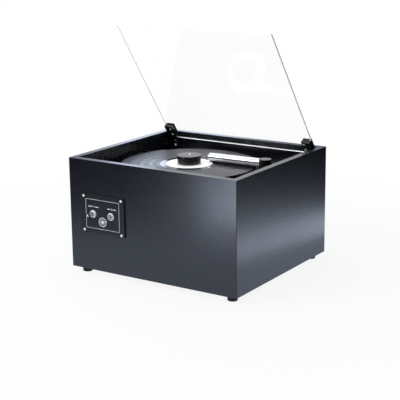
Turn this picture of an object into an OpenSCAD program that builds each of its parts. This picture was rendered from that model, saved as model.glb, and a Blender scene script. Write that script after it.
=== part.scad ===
// Record cleaning machine with a suction arm, in millimetres, Z up.
// The origin lies on the floor under the middle of the machine, and -Y is the front.
// The lid is drawn open, the suction arm lowered and the left switch centred.

/* [Cabinet] */
// Width of the cabinet over its side panels
cab_w = 410; // [396:1:440]
// Depth of the cabinet over its front and back panels
cab_d = 370; // [360:1:400]
// Height of the cabinet without its feet
cab_h = 236; // [230:1:250]
// Thickness of the four wall panels
wall = 14; // [12:0.5:16]
// Thickness of the base panel
base_t = 12; // [8:0.5:14]
// Height of the rubber feet
foot_h = 13; // [8:0.5:15]
// Diameter of the rubber feet
foot_d = 21; // [18:0.5:26]
// Distance from the side of the cabinet to a foot's centre
foot_inset_x = 23; // [20:0.5:40]
// Distance from the front or back of the cabinet to a foot's centre
foot_inset_y = 22; // [20:0.5:40]

/* [Deck] */
// Depth of the record's playing face below the rim
record_drop = 28; // [27:0.5:31]
// Thickness of the deck plate
deck_t = 5; // [3:0.5:6]
// Gap between the deck plate and the walls
deck_gap = 0.5; // [0.2:0.1:1]
// Width of the wooden cleats under the deck
cleat_w = 15; // [12:1:18]
// Height of the wooden cleats under the deck
cleat_h = 18; // [12:1:20]
// Distance of a deck screw from the middle of the cabinet
deck_screw_pitch = 110; // [80:1:140]

/* [Turntable] */
// Share of the cabinet's spare width that lies to the left of the record
left_share = 0.2713; // [0.24:0.0001:0.29]
// Front to back position of the spindle
turntable_y = 0; // [-4:0.5:4]
// Gap between the deck and the platter
platter_gap = 3; // [2:0.5:4]
// Diameter of the platter
platter_d = 294; // [280:1:298]
// Thickness of the platter
platter_t = 10; // [8:0.5:12]
// Diameter of the mat
mat_d = 290; // [270:1:292]
// Thickness of the mat
mat_t = 2; // [1.5:0.1:3]
// Diameter of the recess in the mat for the record's raised centre
mat_recess_d = 108; // [106:1:120]
// Diameter of the record
record_d = 301.6; // [300:0.1:302]
// Thickness of the record at its grooves
record_t = 2; // [1.6:0.1:2.4]
// Diameter of the record's raised centre
record_centre_d = 104; // [102:0.5:105]
// Height of the raised centre and of the rim bead above the grooves
record_bead = 0.3; // [0.2:0.05:0.3]
// Diameter of the paper labels
label_d = 100; // [90:1:101]
// Thickness of the paper labels
label_t = 0.15; // [0.1:0.05:0.15]
// Diameter of the spindle that the record sits on
spindle_d = 7.16; // [7.1:0.01:7.2]
// Length of the spindle above the platter
spindle_len = 24.4; // [24:0.1:24.6]
// Diameter of the platter's bearing shaft
shaft_d = 12; // [8:0.5:14]
// Running clearance of shafts in their bores, on the radius
run_gap = 0.05; // [0.03:0.01:0.08]

/* [Record clamp] */
// Height of the clamp above the record's label
clamp_h = 18.2; // [16:0.1:19]
// Diameter of the clamp's upper part
clamp_top_d = 53; // [50:0.5:56]
// Diameter of the clamp's lower part
clamp_low_d = 50; // [46:0.5:53]
// Height of the clamp's lower part
clamp_low_h = 8; // [6:0.5:10]
// Rise of the clamp's crowned top towards its middle
clamp_crown = 0.7; // [0:0.1:1]
// Thickness of the seal ring under the clamp
clamp_seal_t = 1.2; // [0.8:0.1:2]

/* [Turntable drive] */
// Outside diameter of the bearing housing
bearing_d = 32; // [28:1:38]
// Length of the bearing housing below the deck
bearing_len = 45; // [36:1:48]
// Diameter of the bearing housing's flange
bearing_flange_d = 64; // [56:1:70]
// Thickness of the bearing housing's flange
bearing_flange_t = 4; // [3:0.5:6]
// Outside diameter of the bearing bushes
bush_d = 20; // [18:0.5:22]
// Length of one bearing bush
bush_len = 12; // [8:1:16]
// Diameter of the shaft coupling
coupling_d = 22; // [20:1:26]
// Length of the shaft coupling
coupling_len = 26; // [22:1:30]
// Diameter of the motor's output shaft
motor_shaft_d = 6; // [5:0.5:8]
// Diameter of the gearbox
gearbox_d = 60; // [50:1:64]
// Height of the gearbox
gearbox_h = 25; // [18:1:28]
// Diameter of the motor
motor_d = 48; // [40:1:52]
// Height of the motor
motor_h = 48; // [30:1:50]
// Length of the motor bracket's plate
bracket_l = 88; // [84:1:96]
// Width of the motor bracket's plate
bracket_w = 72; // [70:1:80]
// Thickness of the motor bracket's plate
bracket_t = 3; // [2:0.5:4]
// Diameter of the motor bracket's legs
leg_d = 8; // [6:0.5:9]

/* [Suction arm] */
// Sideways distance from the spindle to the arm's post
arm_dx = 162.5; // [160:0.5:166]
// Front to back distance from the spindle to the arm's post
arm_dy = 42.5; // [36:0.5:50]
// Angle of the lowered arm from the machine's width
arm_turn = 2.3; // [0:0.1:6]
// Reach of the arm from the post's axis to its tip
arm_reach = 133; // [130:0.1:136]
// Outside diameter of the suction tube
tube_d = 18; // [17:0.1:18]
// Wall thickness of the suction tube
tube_wall = 1.2; // [0.8:0.1:1.6]
// Height of the suction tube's axis above the record's playing face
tube_lift = 10.3; // [10:0.1:10.6]
// Width of the suction slot
slot_w = 2; // [1:0.1:3]
// Width of one velvet strip
velvet_w = 4.5; // [3:0.1:5]
// Gap between the velvet and the record's playing face
velvet_gap = 0.6; // [0.5:0.1:0.8]
// Diameter of the arm's post
post_d = 26.5; // [24:0.5:28]
// Height of the post's top above the record's playing face
post_top = 19.5; // [19.5:0.1:20]
// Diameter of the post's spigot below the deck
spigot_d = 20; // [18:0.5:21]
// Bore of the post
post_bore = 15; // [12:0.5:15]
// Length of the post's spigot below the deck's top face
spigot_len = 32; // [28:1:34]
// Outside diameter of the swivel sleeve
sleeve_d = 25; // [23:0.5:26]
// Height of the flanges on the swivel sleeve and on the arm bush
sleeve_flange_t = 3; // [2:0.5:3]

/* [Lid] */
// Thickness of the clear lid sheet
lid_t = 4; // [3:0.5:4]
// Gap between the lid and the side walls
lid_side_gap = 2; // [1.5:0.1:3]
// Gap between the closed lid and the front wall
lid_front_gap = 2; // [1:0.5:6]
// Angle by which the lid is open
lid_open = 54.5; // [40:0.5:56]
// Distance from the back wall to the hinge axis
hinge_back = 11.4; // [11.4:0.1:12]
// Depth of the hinge axis below the rim
hinge_drop = 10.6; // [10.6:0.1:11]
// Distance from the hinge axis to the lid's back edge
hinge_to_edge = 8; // [7:0.1:8]
// Height of the lid sheet's middle above the hinge axis when closed
hinge_to_sheet = 5.5; // [5.5:0.1:5.6]
// Width of a lid clip
clip_w = 20.5; // [20:0.5:22]
// Length of a lid clip along the sheet
clip_len = 40; // [36:0.5:46]
// Gap between a lid clip and the side wall
clip_gap = 2.8; // [2:0.1:3.5]
// Thickness of the clip below the sheet
clip_under = 7; // [6:0.1:7]
// Thickness of the clip above the sheet
clip_over = 3; // [2:0.1:3]
// Width of the clip's tongue between the hinge ears
tongue_w = 11; // [10:0.5:12]
// Radius of the hinge ears
ear_r = 3.2; // [3:0.1:3.3]
// Diameter of the hinge pins
pin_d = 3; // [2.5:0.1:3.2]
// Thickness of the hinge's base plate
hinge_plate_t = 3; // [2:0.1:3]
// Height of the hinge's base plate
hinge_plate_h = 24; // [22:0.5:25]

/* [Control plate] */
// Distance from the left side of the cabinet to the control plate
plate_inset = 32; // [20:0.5:45]
// Height of the control plate's middle above the bottom of the cabinet
plate_z = 123.5; // [100:0.5:140]
// Width of the control plate
plate_w = 111; // [106:1:120]
// Height of the control plate
plate_h = 81.5; // [80:0.5:92]
// Thickness of the control plate
plate_t = 3.2; // [2:0.1:4]
// Distance between the plate's screws, sideways
plate_screw_dx = 96.7; // [90:0.1:100]
// Distance between the plate's screws, up and down
plate_screw_dz = 72.8; // [66:0.1:76]
// Distance between the two toggle switches
toggle_dx = 46.3; // [40:0.1:52]
// Diameter of the toggle switches' threaded bushings
toggle_bush_d = 12; // [11:0.5:12]
// Length of a bushing in front of the cabinet
toggle_bush_len = 7; // [7:0.5:8]
// Diameter of the dress nuts on the switches
nut_d = 16; // [15:0.5:18]
// Thickness of the dress nuts
nut_t = 3; // [2:0.5:4]
// Length of a lever from its pivot to its tip
lever_len = 21; // [18:0.5:23]
// Angle of a lever from straight out to its stop
lever_throw = 15; // [10:1:15]

/* [Waste tank] */
// Width of the waste tank
tank_w = 100; // [80:1:104]
// Length of the waste tank, front to back
tank_l = 170; // [150:1:180]
// Height of the waste tank without its lid
tank_h = 93; // [70:1:94]
// Wall thickness of the waste tank
tank_wall = 2.5; // [2:0.1:4]
// Thickness of the tank's lid
tank_lid_t = 4; // [3:0.5:4]
// Gap between the tank and the side wall
tank_gap_x = 9; // [6:1:12]
// Gap between the tank and the back wall
tank_gap_y = 8; // [6:1:12]
// Outside diameter of the drain tap's nozzle
nozzle_d = 12; // [10:0.5:14]
// Height of the drain tap above the base panel
drain_z = 13; // [12:0.5:20]

/* [Vacuum blower] */
// Gap between the fan housing and the left wall
blower_gap_x = 6; // [5:0.5:9]
// Gap between the fan housing and the back wall
blower_gap_y = 21; // [15:1:30]
// Diameter of the fan housing
fan_case_d = 120; // [110:1:122]
// Height of the fan housing
fan_case_h = 32; // [28:1:34]
// Wall thickness of the fan housing
fan_case_wall = 2; // [1.5:0.1:3]
// Diameter of the impeller
impeller_d = 100; // [90:1:104]
// Diameter of the blower's motor
blower_d = 86; // [80:1:90]
// Height of the blower's motor
blower_h = 69; // [60:1:70]
// Diameter of the blower's shaft
blower_shaft_d = 8; // [6:0.5:10]
// Height of the rubber ring under the blower
ring_h = 8; // [6:0.5:9]
// Outside diameter of the suction hoses
hose_d = 29; // [28:0.5:32]
// Outside diameter of the hose spigots
hose_spigot_d = 24; // [22:0.5:25]

/* [Rear fittings] */
// Sideways position of the power inlet
inlet_x = -40; // [-60:1:-20]
// Height of the power inlet above the bottom of the cabinet
inlet_z = 41; // [30:1:60]
// Width of the exhaust grille
grille_w = 60; // [50:1:70]
// Number of slots in the exhaust grille
grille_slots = 7; // [5:1:8]

/* [Hidden] */
$fn = 72;

// Cabinet, worked out
in_x = cab_w / 2 - wall;
in_y = cab_d / 2 - wall;
out_y = cab_d / 2;
z_cab = foot_h;
z_base = z_cab + base_t;
z_rim = z_cab + cab_h;
foot_x = cab_w / 2 - foot_inset_x;
foot_y = cab_d / 2 - foot_inset_y;
foot_bore_d = 10;
foot_bore_h = 4;
screw_gap = 0.05;

// Bush of the suction arm, and the spindle's place in the width that is left
bush_wall = 3.5;
bush_flange_rim = 4;
bush_body_d = sleeve_d + 2 * run_gap + 2 * bush_wall;
bush_flange_d = bush_body_d + 2 * bush_flange_rim;
spare_x = 2 * in_x - record_d / 2 - arm_dx - bush_flange_d / 2;
turntable_x = record_d / 2 + left_share * spare_x - in_x;

// Levels of the deck and the turntable
z_play = z_rim - record_drop;
z_record = z_play - record_t;
z_mat = z_record - mat_t;
z_platter = z_mat - platter_t;
z_deck_top = z_platter - platter_gap;
z_deck = z_deck_top - deck_t;
z_label = z_play + record_bead;
bead_w = 2.3;
spindle_hole_d = spindle_d + 2 * run_gap;
clamp_edge = 1;

// Turntable drive
bearing_z = z_deck - bearing_len;
shaft_below = 14;
shaft_z = bearing_z - shaft_below;
coupling_z = bearing_z - 2 - coupling_len;
boss_d = 16;
gearbox_floor = 8;
bracket_top = coupling_z - 4;
gearbox_z = bracket_top - bracket_t - gearbox_h;
motor_shaft_z = gearbox_z + gearbox_floor;
leg_inset = 7;

// Suction arm
arm_x = turntable_x + arm_dx;
arm_y = turntable_y + arm_dy;
z_tube = z_play + tube_lift;
z_post_top = z_play + post_top;
z_sleeve_top = z_deck_top + 2 * sleeve_flange_t;
post_seat_gap = 0.3;
z_post = z_sleeve_top + post_seat_gap;
z_spigot = z_deck_top - spigot_len;
sleeve_below = 20;
sleeve_flange_d = sleeve_d + 7;
bush_depth = 45;
bush_bottom = z_deck_top - bush_depth;
bush_floor = 5;
arm_nozzle_len = 12;
arm_spigot_d = 18;
arm_spigot_wall = 2;
bush_nut_h = 7;
bush_nut_d = bush_body_d + 12;
velvet_tip_gap = 2.5;
velvet_root = 20;
tube_bite = 8;

// Lid and hinges
hinge_y = in_y - hinge_back;
hinge_z = z_rim - hinge_drop;
lid_w = 2 * (in_x - lid_side_gap);
lid_len = hinge_y + hinge_to_edge + in_y - lid_front_gap;
clip_x = in_x - clip_gap - clip_w / 2;
clip_front = hinge_to_edge - clip_len;
clip_web = 2.5;
lid_notch_w = clip_gap + clip_web - lid_side_gap;
tongue_len = 6;
ear_gap = 0.5;
sheet_z = hinge_to_sheet - lid_t / 2;
clip_bottom = sheet_z - clip_under;
clip_screw_shift = 4.5;
clip_screw_ys = [hinge_to_edge - 33, hinge_to_edge - 17];
hinge_plate_drop = 5.4;
hinge_screw_drops = [5.5, 17.5];
ear_front_drop = 4;
ear_back_drop = 16;

// Control plate and switches
front_y = -out_y;
plate_x = plate_inset + plate_w / 2 - cab_w / 2;
plate_cz = z_cab + plate_z;
toggle_shift = -1;
toggle_xs = [plate_x + toggle_shift - toggle_dx / 2, plate_x + toggle_shift + toggle_dx / 2];
toggle_body_w = 17;
toggle_body_h = 29;
toggle_body_d = 22;
pocket_gap = 1;
ball_r = 3.5;
ball_bore_r = ball_r + 0.1;
lever_pivot = 2;
lever_y = front_y - lever_pivot;
trunnion_r = 1;
trunnion_half = 4.6;
lever_neck_r = 1.3;
lever_tip_r = 2.4;

// Waste tank and drain
tank_x1 = in_x - tank_gap_x;
tank_x0 = tank_x1 - tank_w;
tank_y1 = in_y - tank_gap_y;
tank_y0 = tank_y1 - tank_l;
z_tank_top = z_base + tank_h;
z_tank_lid = z_tank_top + tank_lid_t;
tank_spigot_h = 14;
inlet_hose_wall = 2.5;
z_drain = z_base + drain_z;
drain_x = (tank_x0 + tank_x1) / 2 + 18;
front_reach = lever_pivot + lever_len;
tap_body_d = 16;
tap_body_len = 9;
tap_bore_d = 7;
tap_cap_d = 9;
tap_cap_h = 3;
tap_cap_gap = 0.2;
tap_stem_d = 4;
tap_stem_len = 3.5;
tap_y = out_y + 1 + tap_body_len / 2;
tap_top = z_drain + tap_body_d / 2 + tap_cap_h;
handle_len = 26;
handle_t = 4;

// Vacuum blower and hose
blower_x = blower_gap_x + fan_case_d / 2 - in_x;
blower_y = in_y - blower_gap_y - fan_case_d / 2;
z_ring = z_base + ring_h;
z_fan = z_ring + blower_h;
z_fan_top = z_fan + fan_case_h;
fan_nozzle_h = 14;
duct_d = 24;
z_duct = z_fan + fan_case_h / 2;
port_inset_x = 28;
port_inset_y = 33;
port_x = tank_x0 + port_inset_x;
port_y = tank_y1 - port_inset_y;
hose_bend = 24;
z_hose = max(z_fan_top, z_tank_lid) + fan_nozzle_h + hose_bend;
hose_run = norm([port_x - blower_x, port_y - blower_y]);
hose_turn = atan2(port_y - blower_y, port_x - blower_x);
hose_start = z_fan_top + 1;
hose_end = z_tank_lid + 1;
blade_count = 10;
blade_t = 1.6;
blade_h = 14;
hub_d = 16;
hub_h = 13;
armature_d = 40;
stator_bore = 44;

// Rear fittings and wiring
z_inlet = z_cab + inlet_z;
inlet_w = 27.4;
inlet_h = 20;
inlet_body_len = 26;
inlet_screw_dx = 40;
inlet_flange = [50, 2, 28];
inlet_pit = [24.4, 16, 16.4];
inlet_pin = [2, 11, 4];
inlet_pins = [[-7, -2], [0, 2], [7, -2]];
grille_t = 2;
slot_l = 38;
slot_h = 3.4;
slot_pitch = 6.4;
block_shift = 25.5;
block_x = plate_x + block_shift;
block_y = -75;
block_size = [60, 22, 16];
wire_d = 4;
wire_bend = 9;
wire_z = z_base + wire_d / 2 + 0.3;
wire_lift = 4;
wire_reach = 30;
wire_rise_y = front_y + toggle_body_d + 22;
wire_turn_y = wire_rise_y + 8;

// Points along the wires inside the cabinet, from the terminal block outwards
wire_routes = [
    [[block_x + 18, block_y + 11, wire_z + wire_lift],
        [block_x + 18, block_y + 40, wire_z + wire_lift],
        [inlet_x, in_y - 2 * wire_reach, wire_z + wire_lift],
        [inlet_x, in_y - wire_reach, wire_z + wire_lift],
        [inlet_x, in_y - wire_reach, z_inlet], [inlet_x, out_y - inlet_body_len, z_inlet]],
    [[block_x - 18, block_y + 11, wire_z + wire_lift],
        [block_x - 18, block_y + 50, wire_z + wire_lift],
        [blower_x, blower_y - blower_d / 2 - wire_reach, wire_z + wire_lift],
        [blower_x, blower_y - blower_d / 2 - 24, z_ring + 24],
        [blower_x, blower_y - blower_d / 2 - 0.2, z_ring + 24]],
    [[block_x - 20, block_y - 11, wire_z + wire_lift],
        [block_x - 20, block_y - 40, wire_z + wire_lift],
        [toggle_xs[0], wire_turn_y, wire_z + wire_reach], [toggle_xs[0], wire_rise_y, plate_cz],
        [toggle_xs[0], front_y + toggle_body_d, plate_cz]],
    [[block_x + 10, block_y - 11, wire_z + wire_lift],
        [block_x + 10, block_y - 40, wire_z + wire_lift],
        [toggle_xs[1], wire_turn_y, wire_z + wire_reach], [toggle_xs[1], wire_rise_y, plate_cz],
        [toggle_xs[1], front_y + toggle_body_d, plate_cz]],
    [[block_x + 30, block_y, wire_z + 5], [block_x + 44, block_y, wire_z + 5],
        [turntable_x, turntable_y - 40, wire_z + 5], [turntable_x, turntable_y - 12, wire_z + 5],
        [turntable_x, turntable_y - 12, gearbox_z - motor_h]]
];

// A vector scaled to length one
function unit(v) = v / norm(v);

// The vector v turned the way that takes direction a to direction b
function turned(v, a, b) =
    let (c = cross(a, b), k = a * b)
    norm(c) < 0.000001 ? v : v * k + cross(c, v) + c * (c * v) / (1 + k);

// A route with each corner rounded by four points along a curve
function rounded(route, r) = [
    for (i = [0 : len(route) - 1])
        let (inner = i > 0 && i < len(route) - 1)
        let (p = route[i])
        let (a = inner ? p + unit(route[i - 1] - p) * r : p)
        let (b = inner ? p + unit(route[i + 1] - p) * r : p)
        for (t = inner ? [0, 1 / 3, 2 / 3, 1] : [0])
            a * (1 - t) * (1 - t) + p * 2 * t * (1 - t) + b * t * t
];

// Direction of a path at one of its points
function heading(path, i) =
    unit(path[min(i + 1, len(path) - 1)] - path[max(i - 1, 0)]);

// Sideways directions that follow a path without twisting
function sides(path, i = 0, found = []) =
    i == len(path) ? found :
    let (h = heading(path, i))
    let (first = abs(h[2]) > 0.9 ? [1, 0, 0] : [0, 0, 1])
    let (s = i == 0 ? unit(first - h * (first * h)) : turned(found[i - 1], heading(path, i - 1), h))
    sides(path, i + 1, concat(found, [s]));

// Polygonal tube along a path of points
module swept(path, r, n) {
    s = sides(path);
    last = len(path) - 1;
    points = [
        for (i = [0 : last])
            for (k = [0 : n - 1])
                let (a = 360 * k / n)
                path[i] + r * (cos(a) * s[i] + sin(a) * cross(heading(path, i), s[i]))
    ];
    walls = [
        for (i = [0 : last - 1])
            for (k = [0 : n - 1])
                let (a = i * n + k, b = i * n + (k + 1) % n)
                for (face = [[a, a + n, b], [b, a + n, b + n]])
                    face
    ];
    start = [for (k = [1 : n - 2]) [0, k, k + 1]];
    finish = [for (k = [1 : n - 2]) [last * n, last * n + k + 1, last * n + k]];
    polyhedron(points = points, faces = concat(walls, start, finish));
}

// Children at both signs of a sideways and a front to back distance
module four_corners(x, y) {
    for (sx = [-1, 1])
        for (sy = [-1, 1])
            translate([sx * x, sy * y, 0])
                children();
}

// Pan head screw, its head standing on z = 0 and its shank below
module screw(head_d, head_h, shank_d, shank_len) {
    cylinder(d = head_d, h = head_h);
    translate([0, 0, -shank_len])
        cylinder(d = shank_d, h = shank_len);
}

// Hole for a screw's shank below z = 0
module screw_hole(shank_d, depth) {
    translate([0, 0, -depth])
        cylinder(d = shank_d + 2 * screw_gap, h = depth + 1);
}

// Round tube standing on z = 0
module pipe(outer_d, inner_d, h) {
    difference() {
        cylinder(d = outer_d, h = h);
        translate([0, 0, -1])
            cylinder(d = inner_d, h = h + 2);
    }
}

// Turns children so that their Z axis points along -Y, out of the front
module facing_front() {
    rotate([90, 0, 0])
        children();
}

// Turns children so that their Z axis points along +Y, out of the back
module facing_back() {
    rotate([-90, 0, 0])
        children();
}

// Mitred wall panel along X, its outer face at y = -reach
module wall_panel(length, reach) {
    translate([0, 0, z_cab])
        linear_extrude(height = cab_h)
            polygon([
                [-length / 2, -reach], [length / 2, -reach],
                [length / 2 - wall, wall - reach], [wall - length / 2, wall - reach]
            ]);
}

// Places of the deck screws, the sides first
deck_screw_spots = [
    for (s = [-1, 1])
        for (t = [-1, 1])
            for (spot = [
                [s * (in_x - cleat_w / 2), t * deck_screw_pitch],
                [t * deck_screw_pitch, s * (in_y - cleat_w / 2)]
            ])
                spot
];
deck_screw_d = 4;
deck_screw_len = 16;
foot_screw_d = 4;
foot_screw_len = foot_h - foot_bore_h + 8;
plate_screw_d = 3;
plate_screw_len = 12;
hinge_screw_d = 3.5;
hinge_screw_len = 13;
clip_screw_d = 3;
clip_head = [5, 1];

// Cabinet

module front_panel() {
    color("#17181c")
        difference() {
            wall_panel(cab_w, out_y);
            for (x = toggle_xs)
                translate([x, front_y + wall / 2, plate_cz])
                    cube([toggle_body_w + 2 * pocket_gap, wall + 2, toggle_body_h + 2 * pocket_gap],
                        center = true);
            plate_screw_places()
                screw_hole(plate_screw_d, plate_t + plate_screw_len);
        }
}

module back_panel() {
    color("#17181c")
        difference() {
            rotate([0, 0, 180])
                wall_panel(cab_w, out_y);
            translate([inlet_x, out_y - wall / 2, z_inlet])
                cube([inlet_w + 0.6, wall + 2, inlet_h + 0.6], center = true);
            translate([blower_x, in_y - 1, z_duct])
                facing_back()
                    cylinder(d = duct_d, h = wall + 2);
            translate([drain_x, in_y - 1, z_drain])
                facing_back()
                    cylinder(d = nozzle_d + 1, h = wall + 2);
            hinge_screw_places()
                screw_hole(hinge_screw_d, hinge_screw_len);
            rear_screw_places()
                screw_hole(plate_screw_d, plate_screw_len - 2);
        }
}

module left_panel() {
    color("#17181c")
        rotate([0, 0, -90])
            wall_panel(cab_d, cab_w / 2);
}

module right_panel() {
    color("#17181c")
        rotate([0, 0, 90])
            wall_panel(cab_d, cab_w / 2);
}

module base_panel() {
    color("#2a2420")
        difference() {
            translate([-in_x, -in_y, z_cab])
                cube([2 * in_x, 2 * in_y, base_t]);
            four_corners(foot_x, foot_y)
                translate([0, 0, z_cab])
                    mirror([0, 0, 1])
                        screw_hole(foot_screw_d, 9);
        }
}

module deck_plate() {
    color("#101114")
        difference() {
            translate([deck_gap - in_x, deck_gap - in_y, z_deck])
                cube([2 * (in_x - deck_gap), 2 * (in_y - deck_gap), deck_t]);
            translate([turntable_x, turntable_y, z_deck - 1])
                cylinder(d = bearing_d + 1, h = deck_t + 2);
            translate([arm_x, arm_y, z_deck - 1])
                cylinder(d = bush_body_d + 0.4, h = deck_t + 2);
            for (spot = deck_screw_spots)
                translate([spot[0], spot[1], z_deck_top])
                    screw_hole(deck_screw_d, deck_t + 1);
        }
}

module deck_cleats() {
    color("#b08a5a")
        difference() {
            for (s = [-1, 1]) {
                translate([s * (in_x - cleat_w / 2), 0, z_deck - cleat_h / 2])
                    cube([cleat_w, 2 * (in_y - cleat_w - 1), cleat_h], center = true);
                translate([0, s * (in_y - cleat_w / 2), z_deck - cleat_h / 2])
                    cube([2 * in_x, cleat_w, cleat_h], center = true);
            }
            translate([arm_x, arm_y, z_deck - cleat_h - 1])
                cylinder(d = bush_nut_d + 2 * deck_gap, h = cleat_h + 2);
            for (spot = deck_screw_spots)
                translate([spot[0], spot[1], z_deck])
                    screw_hole(deck_screw_d, deck_screw_len - deck_t + 0.5);
        }
}

module deck_screws() {
    color("#303236")
        for (spot = deck_screw_spots)
            translate([spot[0], spot[1], z_deck_top])
                screw(7.5, 2, deck_screw_d, deck_screw_len);
}

module rubber_feet() {
    color("#0d0d0e")
        four_corners(foot_x, foot_y)
            difference() {
                cylinder(d = foot_d, h = foot_h);
                translate([0, 0, -1])
                    cylinder(d = foot_bore_d, h = foot_bore_h + 1);
                translate([0, 0, foot_h])
                    screw_hole(foot_screw_d, foot_h);
            }
}

module foot_screws() {
    color("#9a9ca0")
        four_corners(foot_x, foot_y)
            translate([0, 0, foot_bore_h])
                mirror([0, 0, 1])
                    screw(8, 2.5, foot_screw_d, foot_screw_len);
}

// Control plate and switches

// Children at the plate's screws, Z pointing out of the front on the plate's face
module plate_screw_places() {
    for (sx = [-1, 1])
        for (sz = [-1, 1])
            translate([plate_x, front_y - plate_t, plate_cz])
                translate([sx * plate_screw_dx / 2, 0, sz * plate_screw_dz / 2])
                    facing_front()
                        children();
}

module control_plate() {
    color("#1d1e22")
        difference() {
            translate([plate_x - plate_w / 2, front_y - plate_t, plate_cz - plate_h / 2])
                cube([plate_w, plate_t, plate_h]);
            for (x = toggle_xs)
                translate([x, front_y + 1, plate_cz])
                    facing_front()
                        cylinder(d = toggle_bush_d + 2 * screw_gap, h = plate_t + 2);
            plate_screw_places()
                screw_hole(plate_screw_d, plate_t + 1);
        }
}

module control_plate_screws() {
    color("#d8dade")
        plate_screw_places()
            screw(5.5, 1.5, plate_screw_d, plate_t + plate_screw_len - 1);
}

// Switch body and threaded bushing, with a bore for the lever's ball
module toggle_switch(x) {
    terminal = [1.2, 8, 5];
    translate([x, front_y, plate_cz])
        difference() {
            union() {
                translate([-toggle_body_w / 2, 0, -toggle_body_h / 2])
                    cube([toggle_body_w, toggle_body_d, toggle_body_h]);
                facing_front()
                    cylinder(d = toggle_bush_d, h = toggle_bush_len);
                for (sz = [-1, 1])
                    translate([-6, toggle_body_d - 0.5, sz * 9 - terminal[2] / 2])
                        cube(terminal);
            }
            translate([0, 4, 0])
                facing_front()
                    cylinder(r = ball_bore_r, h = toggle_bush_len + 5);
            translate([-trunnion_half - 0.4, -lever_pivot, 0])
                rotate([0, 90, 0])
                    cylinder(r = trunnion_r + run_gap, h = 2 * (trunnion_half + 0.4));
        }
}

module turntable_switch() {
    color("#c9ccd2")
        toggle_switch(toggle_xs[0]);
}

module vacuum_switch() {
    color("#c9ccd2")
        toggle_switch(toggle_xs[1]);
}

module switch_nuts() {
    color("#e4e6ea")
        for (x = toggle_xs)
            translate([x, front_y - plate_t, plate_cz])
                facing_front()
                    difference() {
                        union() {
                            cylinder(d = nut_d, h = nut_t / 2);
                            cylinder(d = nut_d - 1.5, h = nut_t);
                        }
                        translate([0, 0, -1])
                            cylinder(d = toggle_bush_d, h = nut_t + 2);
                    }
}

// Bat lever on its ball and cross pin, pointing out of the front from its pivot
module lever() {
    facing_front()
        rotate_extrude()
            polygon([
                [0, 0], [lever_neck_r, 0], [lever_neck_r, toggle_bush_len - lever_pivot],
                [lever_tip_r, lever_len - 3], [lever_tip_r, lever_len - 1],
                [lever_neck_r, lever_len], [0, lever_len]
            ]);
    sphere(r = ball_r);
    translate([-trunnion_half, 0, 0])
        rotate([0, 90, 0])
            cylinder(r = trunnion_r, h = 2 * trunnion_half);
}

module turntable_lever() {
    color("#e4e6ea")
        translate([toggle_xs[0], lever_y, plate_cz])
            lever();
}

module vacuum_lever() {
    color("#e4e6ea")
        translate([toggle_xs[1], lever_y, plate_cz])
            rotate([lever_throw, 0, 0])
                lever();
}

// Lid and its hinges

// Children drawn round the hinge axis with the lid closed, then swung open
module lid_frame() {
    translate([0, hinge_y, hinge_z])
        rotate([-lid_open, 0, 0])
            children();
}

// Children at the lid clip's screws, Z pointing out of the clip's lower face
module clip_screw_places(side) {
    for (y = clip_screw_ys)
        translate([side * (clip_x - clip_screw_shift), y, clip_bottom])
            mirror([0, 0, 1])
                children();
}

// The sheet's solid, its sides cut back at the clips
module lid_board() {
    difference() {
        translate([-lid_w / 2, hinge_to_edge - lid_len, sheet_z])
            cube([lid_w, lid_len, lid_t]);
        for (side = [-1, 1])
            translate([side * lid_w / 2 - lid_notch_w, clip_front, sheet_z - 1])
                cube([2 * lid_notch_w, clip_len + 1, lid_t + 2]);
    }
}

module lid_sheet() {
    color([0.86, 0.92, 0.95, 0.3])
        lid_frame()
            lid_board();
}

// Block that grips the sheet, with a tongue that turns on the hinge pin
module lid_clip(side) {
    clip_h = clip_under + lid_t + clip_over;
    lid_frame()
        difference() {
            union() {
                translate([side * clip_x - clip_w / 2, clip_front, clip_bottom])
                    cube([clip_w, clip_len - hinge_to_edge - tongue_len, clip_h]);
                translate([side * clip_x - tongue_w / 2, clip_front, clip_bottom])
                    cube([tongue_w, clip_len, clip_under]);
            }
            lid_board();
            translate([side * clip_x - clip_w, 0, 0])
                rotate([0, 90, 0])
                    cylinder(d = pin_d + 2 * run_gap, h = 2 * clip_w);
            clip_screw_places(side)
                screw_hole(clip_screw_d, clip_under + 1);
        }
}

module lid_clip_left() {
    color("#121316")
        lid_clip(-1);
}

module lid_clip_right() {
    color("#121316")
        lid_clip(1);
}

module lid_clip_screws() {
    color("#c8cbd0")
        lid_frame()
            for (side = [-1, 1])
                clip_screw_places(side)
                    screw(clip_head[0], clip_head[1], clip_screw_d, clip_under - 0.1);
}

// Children at the hinge plate's screws, Z pointing into the cabinet
module hinge_screw_places() {
    for (side = [-1, 1])
        for (drop = hinge_screw_drops)
            translate([side * clip_x, in_y - hinge_plate_t, hinge_z - hinge_plate_drop - drop])
                facing_front()
                    children();
}

// Plate on the back wall with two ears that carry the hinge pin
module hinge_base(side) {
    ear_w = (clip_w - tongue_w) / 2 - ear_gap;
    plate_y = hinge_back - hinge_plate_t;
    difference() {
        translate([side * clip_x, hinge_y, hinge_z]) {
            translate([-clip_w / 2, plate_y, -hinge_plate_drop - hinge_plate_h])
                cube([clip_w, hinge_plate_t, hinge_plate_h]);
            for (s = [-1, 1])
                translate([s * (clip_w - ear_w) / 2 - ear_w / 2, 0, 0])
                    rotate([90, 0, 90])
                        difference() {
                            union() {
                                cylinder(r = ear_r, h = ear_w);
                                linear_extrude(height = ear_w)
                                    polygon([
                                        [-ear_r, 0], [-ear_r, -ear_front_drop], [plate_y, -ear_back_drop],
                                        [plate_y, -9], [ear_r * cos(45), -ear_r * sin(45)], [0, 0]
                                    ]);
                            }
                            translate([0, 0, -1])
                                cylinder(d = pin_d, h = ear_w + 2);
                        }
        }
        hinge_screw_places()
            screw_hole(hinge_screw_d, hinge_plate_t + 1);
    }
}

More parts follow.
